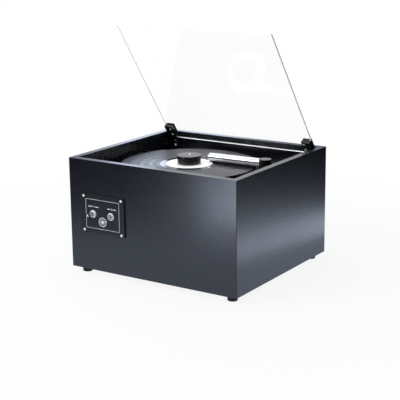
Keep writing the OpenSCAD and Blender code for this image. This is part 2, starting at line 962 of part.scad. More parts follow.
module hinge_base_left() {
    color("#121316")
        hinge_base(-1);
}

module hinge_base_right() {
    color("#121316")
        hinge_base(1);
}

module hinge_pins() {
    color("#9a9ca0")
        for (side = [-1, 1])
            translate([side * clip_x - clip_w / 2, hinge_y, hinge_z])
                rotate([0, 90, 0])
                    cylinder(d = pin_d, h = clip_w);
}

module hinge_screws() {
    color("#c8cbd0")
        hinge_screw_places()
            screw(6.5, 1.6, hinge_screw_d, hinge_plate_t + hinge_screw_len - 4);
}

// Turntable

// Children on the spindle's axis
module at_turntable() {
    translate([turntable_x, turntable_y, 0])
        children();
}

module record() {
    r = record_d / 2;
    rc = record_centre_d / 2;
    rl = label_d / 2;
    rh = spindle_hole_d / 2;
    t = record_t;
    b = record_bead;
    color("#0b0b0d")
        at_turntable()
            translate([0, 0, z_record])
                rotate_extrude($fn = 180)
                    polygon([
                        [rh, label_t - b], [rl, label_t - b], [rl, -b], [rc, -b], [rc + 1, 0],
                        [r - bead_w, 0], [r - bead_w / 2, -b], [r, t / 2],
                        [r - bead_w / 2, t + b], [r - bead_w, t], [rc + 1, t], [rc, t + b],
                        [rl, t + b], [rl, t + b - label_t], [rh, t + b - label_t]
                    ]);
}

module record_labels() {
    color("#f2f0ea")
        at_turntable()
            for (z = [z_record - record_bead, z_label - label_t])
                translate([0, 0, z])
                    pipe(label_d, spindle_hole_d, label_t);
}

module record_clamp() {
    rb = spindle_hole_d / 2;
    rt = clamp_top_d / 2;
    rl = clamp_low_d / 2;
    seal = clamp_seal_t;
    color("#141518")
        at_turntable()
            translate([0, 0, z_label])
                rotate_extrude($fn = 120)
                    polygon([
                        [rb, seal], [rl - 1, seal], [rl, seal + 1], [rl, clamp_low_h - 1],
                        [rl - 1, clamp_low_h], [rl - 1, clamp_low_h + 0.8], [rt, clamp_low_h + 2.2],
                        [rt, clamp_h - clamp_edge], [rt - clamp_edge, clamp_h],
                        [rb, clamp_h + clamp_crown]
                    ]);
}

module clamp_seal() {
    color("#08080a")
        at_turntable()
            translate([0, 0, z_label])
                pipe(clamp_low_d - 2, clamp_low_d - 14, clamp_seal_t);
}

module platter() {
    r = platter_d / 2;
    color("#2b2c30")
        at_turntable()
            translate([0, 0, z_platter])
                rotate_extrude($fn = 180)
                    polygon([
                        [shaft_d / 2, 0], [r - 6, 0], [r, 4], [r, platter_t - 0.8],
                        [r - 0.8, platter_t], [shaft_d / 2, platter_t]
                    ]);
}

module platter_mat() {
    color("#1a1a1c")
        at_turntable()
            translate([0, 0, z_mat])
                difference() {
                    pipe(mat_d, spindle_hole_d, mat_t);
                    translate([0, 0, mat_t / 2])
                        cylinder(d = mat_recess_d, h = mat_t);
                }
}

module platter_shaft() {
    color("#c9ccd2")
        at_turntable() {
            translate([0, 0, shaft_z])
                cylinder(d = shaft_d, h = z_mat - shaft_z);
            translate([0, 0, z_mat])
                cylinder(d = spindle_d, h = spindle_len - 1.5);
            translate([0, 0, z_mat + spindle_len - 1.5])
                rotate_extrude()
                    polygon([[0, 0], [spindle_d / 2, 0], [spindle_d / 2 - 1.2, 1.5], [0, 1.5]]);
        }
}

module bearing_housing() {
    color("#8f9298")
        at_turntable()
            difference() {
                union() {
                    translate([0, 0, bearing_z])
                        cylinder(d = bearing_d, h = z_deck_top - 1 - bearing_z);
                    translate([0, 0, z_deck - bearing_flange_t])
                        cylinder(d = bearing_flange_d, h = bearing_flange_t);
                }
                translate([0, 0, bearing_z - 1])
                    cylinder(d = bush_d, h = z_deck_top - bearing_z + 2);
            }
}

module bearing_bushes() {
    color("#b8893e")
        at_turntable()
            for (z = [bearing_z, z_deck_top - 1 - bush_len])
                translate([0, 0, z])
                    pipe(bush_d, shaft_d + 2 * run_gap, bush_len);
}

module shaft_coupling() {
    color("#b9bcc2")
        at_turntable()
            difference() {
                translate([0, 0, coupling_z])
                    cylinder(d = coupling_d, h = coupling_len);
                translate([0, 0, shaft_z])
                    cylinder(d = shaft_d, h = coupling_len);
                translate([0, 0, coupling_z - 1])
                    cylinder(d = motor_shaft_d, h = shaft_z - coupling_z + 2);
            }
}

module motor_output_shaft() {
    color("#c9ccd2")
        at_turntable()
            translate([0, 0, motor_shaft_z + 1])
                cylinder(d = motor_shaft_d, h = shaft_z - motor_shaft_z - 1);
}

module turntable_motor() {
    color("#6c7078")
        at_turntable()
            difference() {
                union() {
                    translate([0, 0, gearbox_z - motor_h])
                        cylinder(d = motor_d, h = motor_h);
                    translate([0, 0, gearbox_z])
                        cylinder(d = gearbox_d, h = gearbox_h);
                    translate([0, 0, gearbox_z + gearbox_h])
                        cylinder(d = boss_d, h = bracket_t);
                }
                translate([0, 0, motor_shaft_z])
                    cylinder(d = motor_shaft_d + 2 * run_gap, h = gearbox_h + bracket_t);
            }
}

module motor_bracket() {
    color("#8f9298")
        at_turntable() {
            difference() {
                translate([-bracket_l / 2, -bracket_w / 2, bracket_top - bracket_t])
                    cube([bracket_l, bracket_w, bracket_t]);
                translate([0, 0, bracket_top - bracket_t - 1])
                    cylinder(d = boss_d, h = bracket_t + 2);
            }
            four_corners(bracket_l / 2 - leg_inset, bracket_w / 2 - leg_inset)
                translate([0, 0, bracket_top])
                    cylinder(d = leg_d, h = z_deck - bracket_top);
        }
}

// Suction arm

// Children on the post's axis, -X pointing along the arm
module arm_frame() {
    translate([arm_x, arm_y, 0])
        rotate([0, 0, arm_turn])
            children();
}

module arm_tube() {
    slot_len = arm_reach - velvet_tip_gap - velvet_root;
    color("#e2e5ea")
        arm_frame()
            difference() {
                translate([-arm_reach, 0, z_tube])
                    rotate([0, 90, 0])
                        cylinder(d = tube_d, h = arm_reach - tube_bite);
                translate([tube_wall - arm_reach, 0, z_tube])
                    rotate([0, 90, 0])
                        cylinder(d = tube_d - 2 * tube_wall, h = arm_reach);
                translate([velvet_tip_gap - arm_reach, -slot_w / 2, z_tube - tube_d])
                    cube([slot_len, slot_w, tube_d]);
            }
}

module velvet_strips() {
    strip_len = arm_reach - velvet_tip_gap - velvet_root;
    strip_h = tube_d / 2;
    color("#0a0a0b")
        arm_frame()
            difference() {
                translate([velvet_tip_gap - arm_reach, -velvet_w / 2, z_play + velvet_gap])
                    for (s = [-1, 1])
                        translate([0, s * (slot_w + velvet_w) / 2, 0])
                            cube([strip_len, velvet_w, strip_h]);
                translate([-arm_reach, 0, z_tube])
                    rotate([0, 90, 0])
                        cylinder(d = tube_d, h = arm_reach);
                translate([-arm_reach, -tube_d, z_tube - tube_d / 4])
                    cube([arm_reach, 2 * tube_d, tube_d]);
            }
}

module arm_post() {
    color("#101114")
        arm_frame()
            difference() {
                union() {
                    translate([0, 0, z_post])
                        cylinder(d = post_d, h = z_post_top - z_post - 0.8);
                    translate([0, 0, z_post_top - 0.8])
                        rotate_extrude()
                            polygon([[0, 0], [post_d / 2, 0], [post_d / 2 - 0.8, 0.8], [0, 0.8]]);
                    translate([0, 0, z_spigot])
                        cylinder(d = spigot_d, h = z_post - z_spigot);
                }
                translate([0, 0, z_spigot - 1])
                    cylinder(d = post_bore, h = z_tube - z_spigot + 1);
                translate([-post_d, 0, z_tube])
                    rotate([0, 90, 0])
                        cylinder(d = tube_d, h = post_d - tube_bite);
                translate([-tube_bite - 1, 0, z_tube])
                    rotate([0, 90, 0])
                        cylinder(d = tube_d - 2 * tube_wall, h = tube_bite + 1);
            }
}

module swivel_sleeve() {
    sleeve_bore = spigot_d + 2 * run_gap;
    color("#c9a04c")
        translate([arm_x, arm_y, 0])
            difference() {
                union() {
                    translate([0, 0, z_deck_top - sleeve_below])
                        cylinder(d = sleeve_d, h = sleeve_below + sleeve_flange_t);
                    translate([0, 0, z_deck_top + sleeve_flange_t])
                        cylinder(d = sleeve_flange_d, h = sleeve_flange_t);
                }
                translate([0, 0, z_deck_top - sleeve_below - 1])
                    cylinder(d = sleeve_bore, h = sleeve_below + 2 * sleeve_flange_t + 2);
            }
}

module arm_bush() {
    bush_bore = sleeve_d + 2 * run_gap;
    color("#24262a")
        translate([arm_x, arm_y, 0])
            difference() {
                union() {
                    translate([0, 0, bush_bottom])
                        cylinder(d = bush_body_d, h = z_deck_top - bush_bottom);
                    translate([0, 0, z_deck_top])
                        cylinder(d = bush_flange_d, h = sleeve_flange_t);
                    translate([0, 0, bush_bottom - arm_nozzle_len])
                        cylinder(d = arm_spigot_d, h = arm_nozzle_len);
                }
                translate([0, 0, bush_bottom + bush_floor])
                    cylinder(d = bush_bore, h = z_deck_top - bush_bottom);
                translate([0, 0, bush_bottom - arm_nozzle_len - 1])
                    cylinder(d = arm_spigot_d - 2 * arm_spigot_wall, h = arm_nozzle_len + bush_floor + 2);
            }
}

module arm_bush_nut() {
    color("#24262a")
        translate([arm_x, arm_y, z_deck - bush_nut_h])
            difference() {
                cylinder(d = bush_nut_d, h = bush_nut_h, $fn = 6);
                translate([0, 0, -1])
                    cylinder(d = bush_body_d, h = bush_nut_h + 2);
            }
}

module inlet_hose() {
    hose_bottom = z_tank_lid + 2;
    hose_top = bush_bottom - 2;
    color("#3a3c40")
        translate([arm_x, arm_y, hose_bottom])
            pipe(arm_spigot_d + 2 * inlet_hose_wall, arm_spigot_d, hose_top - hose_bottom);
}

// Waste tank

module waste_tank() {
    w = tank_wall;
    color([0.86, 0.88, 0.86])
        difference() {
            translate([tank_x0, tank_y0, z_base])
                cube([tank_w, tank_l, tank_h]);
            translate([tank_x0 + w, tank_y0 + w, z_base + w])
                cube([tank_w - 2 * w, tank_l - 2 * w, tank_h]);
            translate([drain_x, tank_y1 - w - 1, z_drain])
                facing_back()
                    cylinder(d = nozzle_d, h = w + 2);
        }
}

module tank_lid() {
    color("#3a3c40")
        difference() {
            union() {
                translate([tank_x0, tank_y0, z_tank_top])
                    cube([tank_w, tank_l, tank_lid_t]);
                translate([arm_x, arm_y, z_tank_lid])
                    cylinder(d = arm_spigot_d, h = tank_spigot_h);
                translate([port_x, port_y, z_tank_lid])
                    cylinder(d = hose_spigot_d, h = tank_spigot_h);
            }
            translate([arm_x, arm_y, z_tank_top - 1])
                cylinder(d = arm_spigot_d - 2 * arm_spigot_wall, h = tank_lid_t + tank_spigot_h + 2);
            translate([port_x, port_y, z_tank_top - 1])
                cylinder(d = hose_spigot_d - 4, h = tank_lid_t + tank_spigot_h + 2);
        }
}

module drain_tap() {
    pipe_len = out_y + front_reach - tank_y1 + tank_wall;
    color("#55585e")
        difference() {
            union() {
                translate([drain_x, tank_y1 - tank_wall, z_drain])
                    facing_back()
                        cylinder(d = nozzle_d, h = pipe_len);
                translate([drain_x, out_y, z_drain])
                    facing_back()
                        cylinder(d = tap_body_d, h = tap_body_len + 1);
                translate([drain_x, tap_y, z_drain])
                    cylinder(d = tap_cap_d, h = tap_top - z_drain);
            }
            translate([drain_x, tank_y1 - tank_wall - 1, z_drain])
                facing_back()
                    cylinder(d = tap_bore_d, h = pipe_len + 2);
            translate([drain_x, tap_y, tap_top - tap_stem_len - tap_cap_gap])
                cylinder(d = tap_stem_d + 2 * run_gap, h = tap_body_d);
        }
}

module drain_handle() {
    color("#c23a2e")
        translate([drain_x, tap_y, tap_top + tap_cap_gap]) {
            translate([0, 0, -tap_stem_len])
                cylinder(d = tap_stem_d, h = tap_stem_len + 1);
            cylinder(d = tap_cap_d, h = handle_t);
            translate([-tap_cap_d / 2 + 1, -handle_t / 2, 0])
                cube([handle_len, handle_t, handle_t]);
        }
}

// Vacuum blower

// Children on the blower's axis
module at_blower() {
    translate([blower_x, blower_y, 0])
        children();
}

module blower_ring() {
    color("#111113")
        at_blower()
            translate([0, 0, z_base])
                pipe(blower_d, blower_d - 20, ring_h);
}

module blower_motor() {
    color("#5a5d63")
        at_blower()
            difference() {
                translate([0, 0, z_ring])
                    cylinder(d = blower_d, h = blower_h);
                translate([0, 0, z_ring + 8])
                    cylinder(d = stator_bore, h = blower_h);
                translate([0, 0, z_ring + 2])
                    cylinder(d = blower_shaft_d + 2 * run_gap, h = 8);
            }
}

module blower_shaft() {
    color("#c9ccd2")
        at_blower() {
            translate([0, 0, z_ring + 2.2])
                cylinder(d = blower_shaft_d, h = z_fan - z_ring + 20);
            translate([0, 0, z_ring + 12])
                cylinder(d = armature_d, h = blower_h - 24);
        }
}

module fan_housing() {
    w = fan_case_wall;
    color("#3c3f45")
        difference() {
            union() {
                at_blower() {
                    translate([0, 0, z_fan])
                        cylinder(d = fan_case_d, h = fan_case_h);
                    translate([0, 0, z_fan_top])
                        cylinder(d = hose_spigot_d, h = fan_nozzle_h);
                }
                translate([blower_x, blower_y + fan_case_d / 2 - 4, z_duct])
                    facing_back()
                        cylinder(d = duct_d, h = in_y - blower_y - fan_case_d / 2 + 4);
            }
            at_blower() {
                translate([0, 0, z_fan + w])
                    cylinder(d = fan_case_d - 2 * w, h = fan_case_h - 2 * w);
                translate([0, 0, z_fan - 1])
                    cylinder(d = blower_shaft_d + 4, h = w + 2);
                translate([0, 0, z_fan_top - w - 1])
                    cylinder(d = hose_spigot_d - 4, h = fan_nozzle_h + w + 2);
            }
            translate([blower_x, blower_y + fan_case_d / 2 - 8, z_duct])
                facing_back()
                    cylinder(d = duct_d - 4, h = in_y - blower_y);
        }
}

module impeller() {
    color("#d5d8dc")
        at_blower()
            translate([0, 0, z_fan + 6])
                difference() {
                    union() {
                        cylinder(d = impeller_d, h = 2);
                        cylinder(d = hub_d, h = hub_h);
                        for (k = [0 : blade_count - 1])
                            rotate([0, 0, 360 * k / blade_count])
                                translate([hub_d / 2 - 1, -blade_t / 2, 1])
                                    cube([impeller_d / 2 - hub_d / 2 - 0.5, blade_t, blade_h]);
                    }
                    translate([0, 0, -1])
                        cylinder(d = blower_shaft_d, h = hub_h + 2);
                }
}

// Hose from the tank's lid over to the top of the fan housing
module suction_hose() {
    hose_bore = hose_spigot_d;
    run = hose_run - 2 * hose_bend;
    color("#3a3c40")
        translate([blower_x, blower_y, 0])
            rotate([0, 0, hose_turn]) {
                translate([0, 0, hose_start])
                    pipe(hose_d, hose_bore, z_hose - hose_bend - hose_start);
                translate([hose_bend, 0, z_hose - hose_bend])
                    rotate([90, 0, 180])
                        hose_elbow(hose_bore);
                translate([hose_bend, 0, z_hose])
                    rotate([0, 90, 0])
                        pipe(hose_d, hose_bore, run);
                translate([hose_run - hose_bend, 0, z_hose - hose_bend])
                    rotate([90, 0, 0])
                        hose_elbow(hose_bore);
                translate([hose_run, 0, hose_end])
                    pipe(hose_d, hose_bore, z_hose - hose_bend - hose_end);
            }
}

// Quarter bend of a hose round the origin, from +X to +Y
module hose_elbow(bore) {
    rotate_extrude(angle = 90)
        translate([hose_bend, 0])
            difference() {
                circle(d = hose_d);
                circle(d = bore);
            }
}

// Rear fittings and wiring

// Children at the screws of the grille and the power inlet, Z pointing out of the back
module rear_screw_places() {
    grille_reach = grille_w / 2 - 5;
    inlet_spots = [for (s = [-1, 1]) [inlet_x + s * inlet_screw_dx / 2, z_inlet]];
    grille_spots = [
        for (sx = [-1, 1])
            for (sz = [-1, 1])
                [blower_x + sx * grille_reach, z_duct + sz * grille_reach]
    ];
    for (spot = concat(grille_spots, inlet_spots))
        translate([spot[0], out_y, spot[1]])
            facing_back()
                children();
}

module exhaust_grille() {
    color("#1b1c1f")
        difference() {
            translate([blower_x - grille_w / 2, out_y, z_duct - grille_w / 2])
                cube([grille_w, grille_t, grille_w]);
            for (k = [0 : grille_slots - 1])
                translate([blower_x, out_y + grille_t / 2, z_duct])
                    translate([0, 0, (k - (grille_slots - 1) / 2) * slot_pitch])
                        cube([slot_l, grille_t + 2, slot_h], center = true);
            rear_screw_places()
                translate([0, 0, grille_t])
                    screw_hole(plate_screw_d, grille_t + 1);
        }
}

module power_inlet() {
    color("#161719")
        difference() {
            translate([inlet_x, out_y, z_inlet])
                difference() {
                    union() {
                        translate([-inlet_flange[0] / 2, 0, -inlet_flange[2] / 2])
                            cube(inlet_flange);
                        translate([-inlet_w / 2, -inlet_body_len, -inlet_h / 2])
                            cube([inlet_w, inlet_body_len + 1, inlet_h]);
                    }
                    translate([-inlet_pit[0] / 2, inlet_flange[1] - inlet_pit[1], -inlet_pit[2] / 2])
                        cube(inlet_pit + [0, 1, 0]);
                }
            rear_screw_places()
                translate([0, 0, grille_t])
                    screw_hole(plate_screw_d, grille_t + 1);
        }
    color("#c9ccd2")
        translate([inlet_x, out_y + inlet_flange[1] - inlet_pit[1], z_inlet])
            for (place = inlet_pins)
                translate([place[0] - inlet_pin[0] / 2, 0, place[1] - inlet_pin[2] / 2])
                    cube(inlet_pin);
}

module rear_screws() {
    color("#9a9ca0")
        rear_screw_places()
            translate([0, 0, grille_t])
                screw(5.5, 1.5, plate_screw_d, plate_screw_len - 2);
}

module terminal_block() {
    color("#e6e2d4")
        difference() {
            translate([block_x - block_size[0] / 2, block_y - block_size[1] / 2, z_base])
                cube(block_size);
            for (k = [-2 : 2])
                translate([block_x + k * 11, block_y, z_base + block_size[2] - 5])
                    cylinder(d = 5, h = 6);
        }
}

module wiring() {
    color("#26282c")
        for (route = wire_routes)
            swept(rounded(route, wire_bend), wire_d / 2, 8);
}

front_panel();
back_panel();
left_panel();
right_panel();
base_panel();
deck_plate();
deck_cleats();
deck_screws();
rubber_feet();
foot_screws();
control_plate();
control_plate_screws();
turntable_switch();
vacuum_switch();
switch_nuts();
turntable_lever();
vacuum_lever();
lid_sheet();
lid_clip_left();
lid_clip_right();
lid_clip_screws();
hinge_base_left();
hinge_base_right();
hinge_pins();
hinge_screws();
record();
record_labels();
record_clamp();
clamp_seal();
platter();
platter_mat();
platter_shaft();
bearing_housing();
bearing_bushes();
shaft_coupling();
motor_output_shaft();
turntable_motor();
motor_bracket();
arm_tube();
arm_post();
velvet_strips();
swivel_sleeve();
arm_bush();
arm_bush_nut();
inlet_hose();
waste_tank();
tank_lid();
suction_hose();
fan_housing();
blower_motor();
impeller();
blower_shaft();
blower_ring();
exhaust_grille();
power_inlet();
rear_screws();
terminal_block();
wiring();
drain_tap();
drain_handle();
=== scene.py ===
"""Looks of the record cleaning machine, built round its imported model.

Sizes are in millimetres, and become metres when a mesh is finished.
"""
import logging
import math
from collections.abc import Callable, Iterable, Sequence
from dataclasses import dataclass
from enum import Enum
from functools import cache

import bmesh
import bpy
from bmesh.types import BMEdge, BMesh, BMFace, BMVert
from bpy.types import ID, Material, Node, NodeSocket, NodeTree, Object, World
from mathutils import Matrix, Vector


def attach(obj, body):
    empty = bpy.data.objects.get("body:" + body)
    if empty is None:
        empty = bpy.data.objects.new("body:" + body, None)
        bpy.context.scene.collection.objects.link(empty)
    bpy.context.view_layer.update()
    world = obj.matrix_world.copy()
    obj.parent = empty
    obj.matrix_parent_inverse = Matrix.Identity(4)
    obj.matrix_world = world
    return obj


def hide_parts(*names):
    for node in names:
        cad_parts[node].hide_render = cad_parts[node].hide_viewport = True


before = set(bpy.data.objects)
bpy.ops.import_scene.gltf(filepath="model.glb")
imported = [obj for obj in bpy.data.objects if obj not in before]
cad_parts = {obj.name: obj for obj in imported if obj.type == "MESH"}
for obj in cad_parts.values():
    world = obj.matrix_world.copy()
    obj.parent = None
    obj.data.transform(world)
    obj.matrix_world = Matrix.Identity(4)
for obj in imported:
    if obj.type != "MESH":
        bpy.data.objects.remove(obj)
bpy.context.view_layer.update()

MM = 0.001
NEAR = 0.01  # Two places closer than this count as one
log = logging.getLogger("record_cleaner")

Colour = tuple[float, float, float]
Point = tuple[float, float, float]


class Facing(Enum):
    """Ways in which a small part's own +Z can point on the machine."""

    UP = Matrix.Identity(4)
    DOWN = Matrix.Rotation(math.pi, 4, "X")
    FRONT = Matrix.Rotation(math.pi / 2, 4, "X")
    BACK = Matrix.Rotation(-math.pi / 2, 4, "X")


# Shader wiring


class Wiring:
    """Adds and links the nodes of one shader tree."""

    def __init__(self, tree: NodeTree) -> None:
        """Takes the tree to work on.

        Args:
            tree: The node tree of a material, world or group.
        """
        self.tree = tree

    def add(self, kind: str, **settings: object) -> Node:
        """Adds a node.

        Args:
            kind: The node's type name.
            settings: Properties to set on it.

        Returns:
            The new node.
        """
        node = self.tree.nodes.new(kind)
        for key, value in settings.items():
            setattr(node, key, value)
        return node

    def put(self, socket: NodeSocket, value: object) -> None:
        """Links value to socket if it is a socket, and else sets it.

        Args:
            socket: The input to fill.
            value: A socket to link from, or a plain value.
        """
        if isinstance(value, NodeSocket):
            self.tree.links.new(value, socket)
        else:
            socket.default_value = value

    def sum(self, operation: str, first: object, second: object = 0.0,
            clamp: bool = False) -> NodeSocket:
        """Adds a Math node.

        Args:
            operation: The sum it does, such as MULTIPLY.
            first: The first number or socket.
            second: The second number or socket.
            clamp: True to keep the result from 0 to 1.

        Returns:
            The result's socket.
        """
        node = self.add("ShaderNodeMath", operation=operation, use_clamp=clamp)
        self.put(node.inputs[0], first)
        self.put(node.inputs[1], second)
        return node.outputs[0]

    def vector(self, operation: str, first: NodeSocket, second: Point | None = None) -> Node:
        """Adds a Vector Math node.

        Args:
            operation: The sum it does, such as LENGTH.
            first: The first vector's socket.
            second: The second vector, or None.

        Returns:
            The new node.
        """
        node = self.add("ShaderNodeVectorMath", operation=operation)
        self.put(node.inputs[0], first)
        if second is not None:
            node.inputs[1].default_value = second
        return node

    def span(self, value: object, source: tuple[float, float], target: tuple[float, float],
             smooth: bool = False) -> NodeSocket:
        """Maps a value from one range to another, kept inside it.

        Args:
            value: The number's socket.
            source: The range that it comes from.
            target: The range that it goes to.
            smooth: True to ease both ends.

        Returns:
            The result's socket.
        """
        node = self.add("ShaderNodeMapRange", clamp=True,
                        interpolation_type="SMOOTHSTEP" if smooth else "LINEAR")
        self.put(node.inputs[0], value)
        for index, number in enumerate((*source, *target), start=1):
            node.inputs[index].default_value = number
        return node.outputs[0]

    def blend(self, factor: object, first: object, second: object) -> NodeSocket:
        """Mixes two colours.

        Args:
            factor: How much of the second there is.
            first: A colour or its socket.
            second: A colour or its socket.

        Returns:
            The mixed colour's socket.
        """
        node = self.add("ShaderNodeMix", data_type="RGBA")
        self.put(node.inputs[0], factor)
        for index, colour in ((6, first), (7, second)):
            full = (*colour, 1.0) if isinstance(colour, tuple) else colour
            self.put(node.inputs[index], full)
        return node.outputs[2]

    def place(self, centre: Point = (0, 0, 0), scale: Point = (1, 1, 1)) -> NodeSocket:
        """Object coordinates, measured from a centre.

        Args:
            centre: The point, in millimetres, that becomes the origin.
            scale: Stretch of the three directions.

        Returns:
            The coordinates' socket.
        """
        coords = self.add("ShaderNodeTexCoord").outputs["Object"]
        node = self.add("ShaderNodeMapping", vector_type="POINT")
        self.put(node.inputs["Vector"], coords)
        node.inputs["Location"].default_value = [-c * MM * s for c, s in zip(centre, scale)]
        node.inputs["Scale"].default_value = scale
        return node.outputs[0]

    def share(self, group: NodeTree, **values: object) -> Node:
        """Places a shared group.

        Args:
            group: The node group.
            values: Its inputs by name, spaces written as underscores.

        Returns:
            The group's node.
        """
        node = self.add("ShaderNodeGroup")
        node.node_tree = group
        for key, value in values.items():
            self.put(node.inputs[key.replace("_", " ")], value)
        return node


def cleared(block: Material | World) -> Wiring:
    """Empties the shader tree of a material or world.

    Args:
        block: The material or world.

    Returns:
        The wiring of its empty tree.
    """
    block.use_nodes = True
    block.node_tree.nodes.clear()
    return Wiring(block.node_tree)


def new_group(name: str, inputs: dict[str, str],
              outputs: Sequence[str]) -> tuple[Wiring, Node, Node]:
    """Starts a shared node group.

    Args:
        name: The group's name.
        inputs: Its inputs and their socket types.
        outputs: Its outputs, all plain numbers.

    Returns:
        The wiring, the group's input node and its output node.
    """
    tree = bpy.data.node_groups.new(name, "ShaderNodeTree")
    for label, kind in inputs.items():
        tree.interface.new_socket(label, in_out="INPUT", socket_type=kind)
    for label in outputs:
        tree.interface.new_socket(label, in_out="OUTPUT", socket_type="NodeSocketFloat")
    wires = Wiring(tree)
    return wires, wires.add("NodeGroupInput"), wires.add("NodeGroupOutput")


VECTOR, NUMBER = "NodeSocketVector", "NodeSocketFloat"


def make_grain() -> NodeTree:
    """Fine pebbled grain, as on laminate, paint and moulded plastic.

    Returns:
        The group, whose outputs are a tint mask and a height.
    """
    wires, given, result = new_group("fine_grain", {"Vector": VECTOR, "Scale": NUMBER},
                                     ("Tint", "Height"))
    cells = wires.add("ShaderNodeTexVoronoi", feature="SMOOTH_F1")
    noise = wires.add("ShaderNodeTexNoise")
    for node, factor in ((cells, 1.0), (noise, 0.6)):
        wires.put(node.inputs["Vector"], given.outputs["Vector"])
        wires.put(node.inputs["Scale"],
                  wires.sum("MULTIPLY", given.outputs["Scale"], factor))
    noise.inputs["Detail"].default_value = 3.0
    height = wires.sum("ADD", wires.sum("MULTIPLY", cells.outputs["Distance"], 0.6),
                       wires.sum("MULTIPLY", noise.outputs["Fac"], 0.7))
    wires.put(result.inputs["Height"], height)
    wires.put(result.inputs["Tint"], wires.span(noise.outputs["Fac"], (0.3, 0.7), (0.0, 1.0)))
    return wires.tree


def make_marks() -> NodeTree:
    """Soft uneven patches and thin rubs from handling and cleaning.

    Returns:
        The group, whose output is a mask from 0 to 1.
    """
    wires, given, result = new_group("handling_marks", {"Vector": VECTOR, "Scale": NUMBER},
                                     ("Mask",))
    soft = wires.add("ShaderNodeTexNoise")
    rubs = wires.add("ShaderNodeTexNoise")
    stretched = wires.add("ShaderNodeMapping")
    stretched.inputs["Rotation"].default_value = (0.3, 0.2, 0.6)
    stretched.inputs["Scale"].default_value = (1.0, 9.0, 3.0)
    wires.put(stretched.inputs["Vector"], given.outputs["Vector"])
    wires.put(soft.inputs["Vector"], given.outputs["Vector"])
    wires.put(rubs.inputs["Vector"], stretched.outputs[0])
    wires.put(soft.inputs["Scale"], given.outputs["Scale"])
    wires.put(rubs.inputs["Scale"], wires.sum("MULTIPLY", given.outputs["Scale"], 1.7))
    soft.inputs["Detail"].default_value = 2.0
    both = wires.sum("ADD", wires.sum("MULTIPLY", soft.outputs["Fac"], 0.65),
                     wires.sum("MULTIPLY", rubs.outputs["Fac"], 0.35))
    wires.put(result.inputs["Mask"], wires.span(both, (0.32, 0.68), (0.0, 1.0), smooth=True))
    return wires.tree


def make_rings() -> NodeTree:
    """Fine rings about the Z axis, as a lathe or a pressing leaves.

    Returns:
        The group, whose outputs are a tint mask and a height.
    """
    wires, given, result = new_group("turned_rings", {"Vector": VECTOR, "Rings per mm": NUMBER},
                                     ("Tint", "Height"))
    parts = wires.add("ShaderNodeSeparateXYZ")
    wires.put(parts.inputs[0], given.outputs["Vector"])
    squares = [wires.sum("POWER", parts.outputs[axis], 2.0) for axis in ("X", "Y")]
    radius = wires.sum("SQRT", wires.sum("ADD", *squares))
    along = wires.sum("ADD", radius, parts.outputs["Z"])
    turns = wires.sum("MULTIPLY", wires.sum("MULTIPLY", along, 1000.0),
                      given.outputs["Rings per mm"])
    noise = wires.add("ShaderNodeTexNoise", noise_dimensions="1D")
    wires.put(noise.inputs["W"], turns)
    noise.inputs["Scale"].default_value = 1.0
    noise.inputs["Detail"].default_value = 3.0
    wires.put(result.inputs["Height"], noise.outputs["Fac"])
    wires.put(result.inputs["Tint"], wires.span(noise.outputs["Fac"], (0.35, 0.65), (0.0, 1.0)))
    return wires.tree


GRAIN, MARKS, RINGS = make_grain(), make_marks(), make_rings()


# Finishes


@dataclass(frozen=True)
class Surface:
    """A material that is being made.

    Attributes:
        wires: Its wiring.
        shader: Its Principled BSDF.
        output: Its output node.
    """

    wires: Wiring
    shader: Node
    output: Node

    def fill(self, **inputs: object) -> None:
        """Fills the shader's inputs by name, spaces written as underscores."""
        for key, value in inputs.items():
            self.wires.put(self.shader.inputs[key.replace("_", " ")], value)


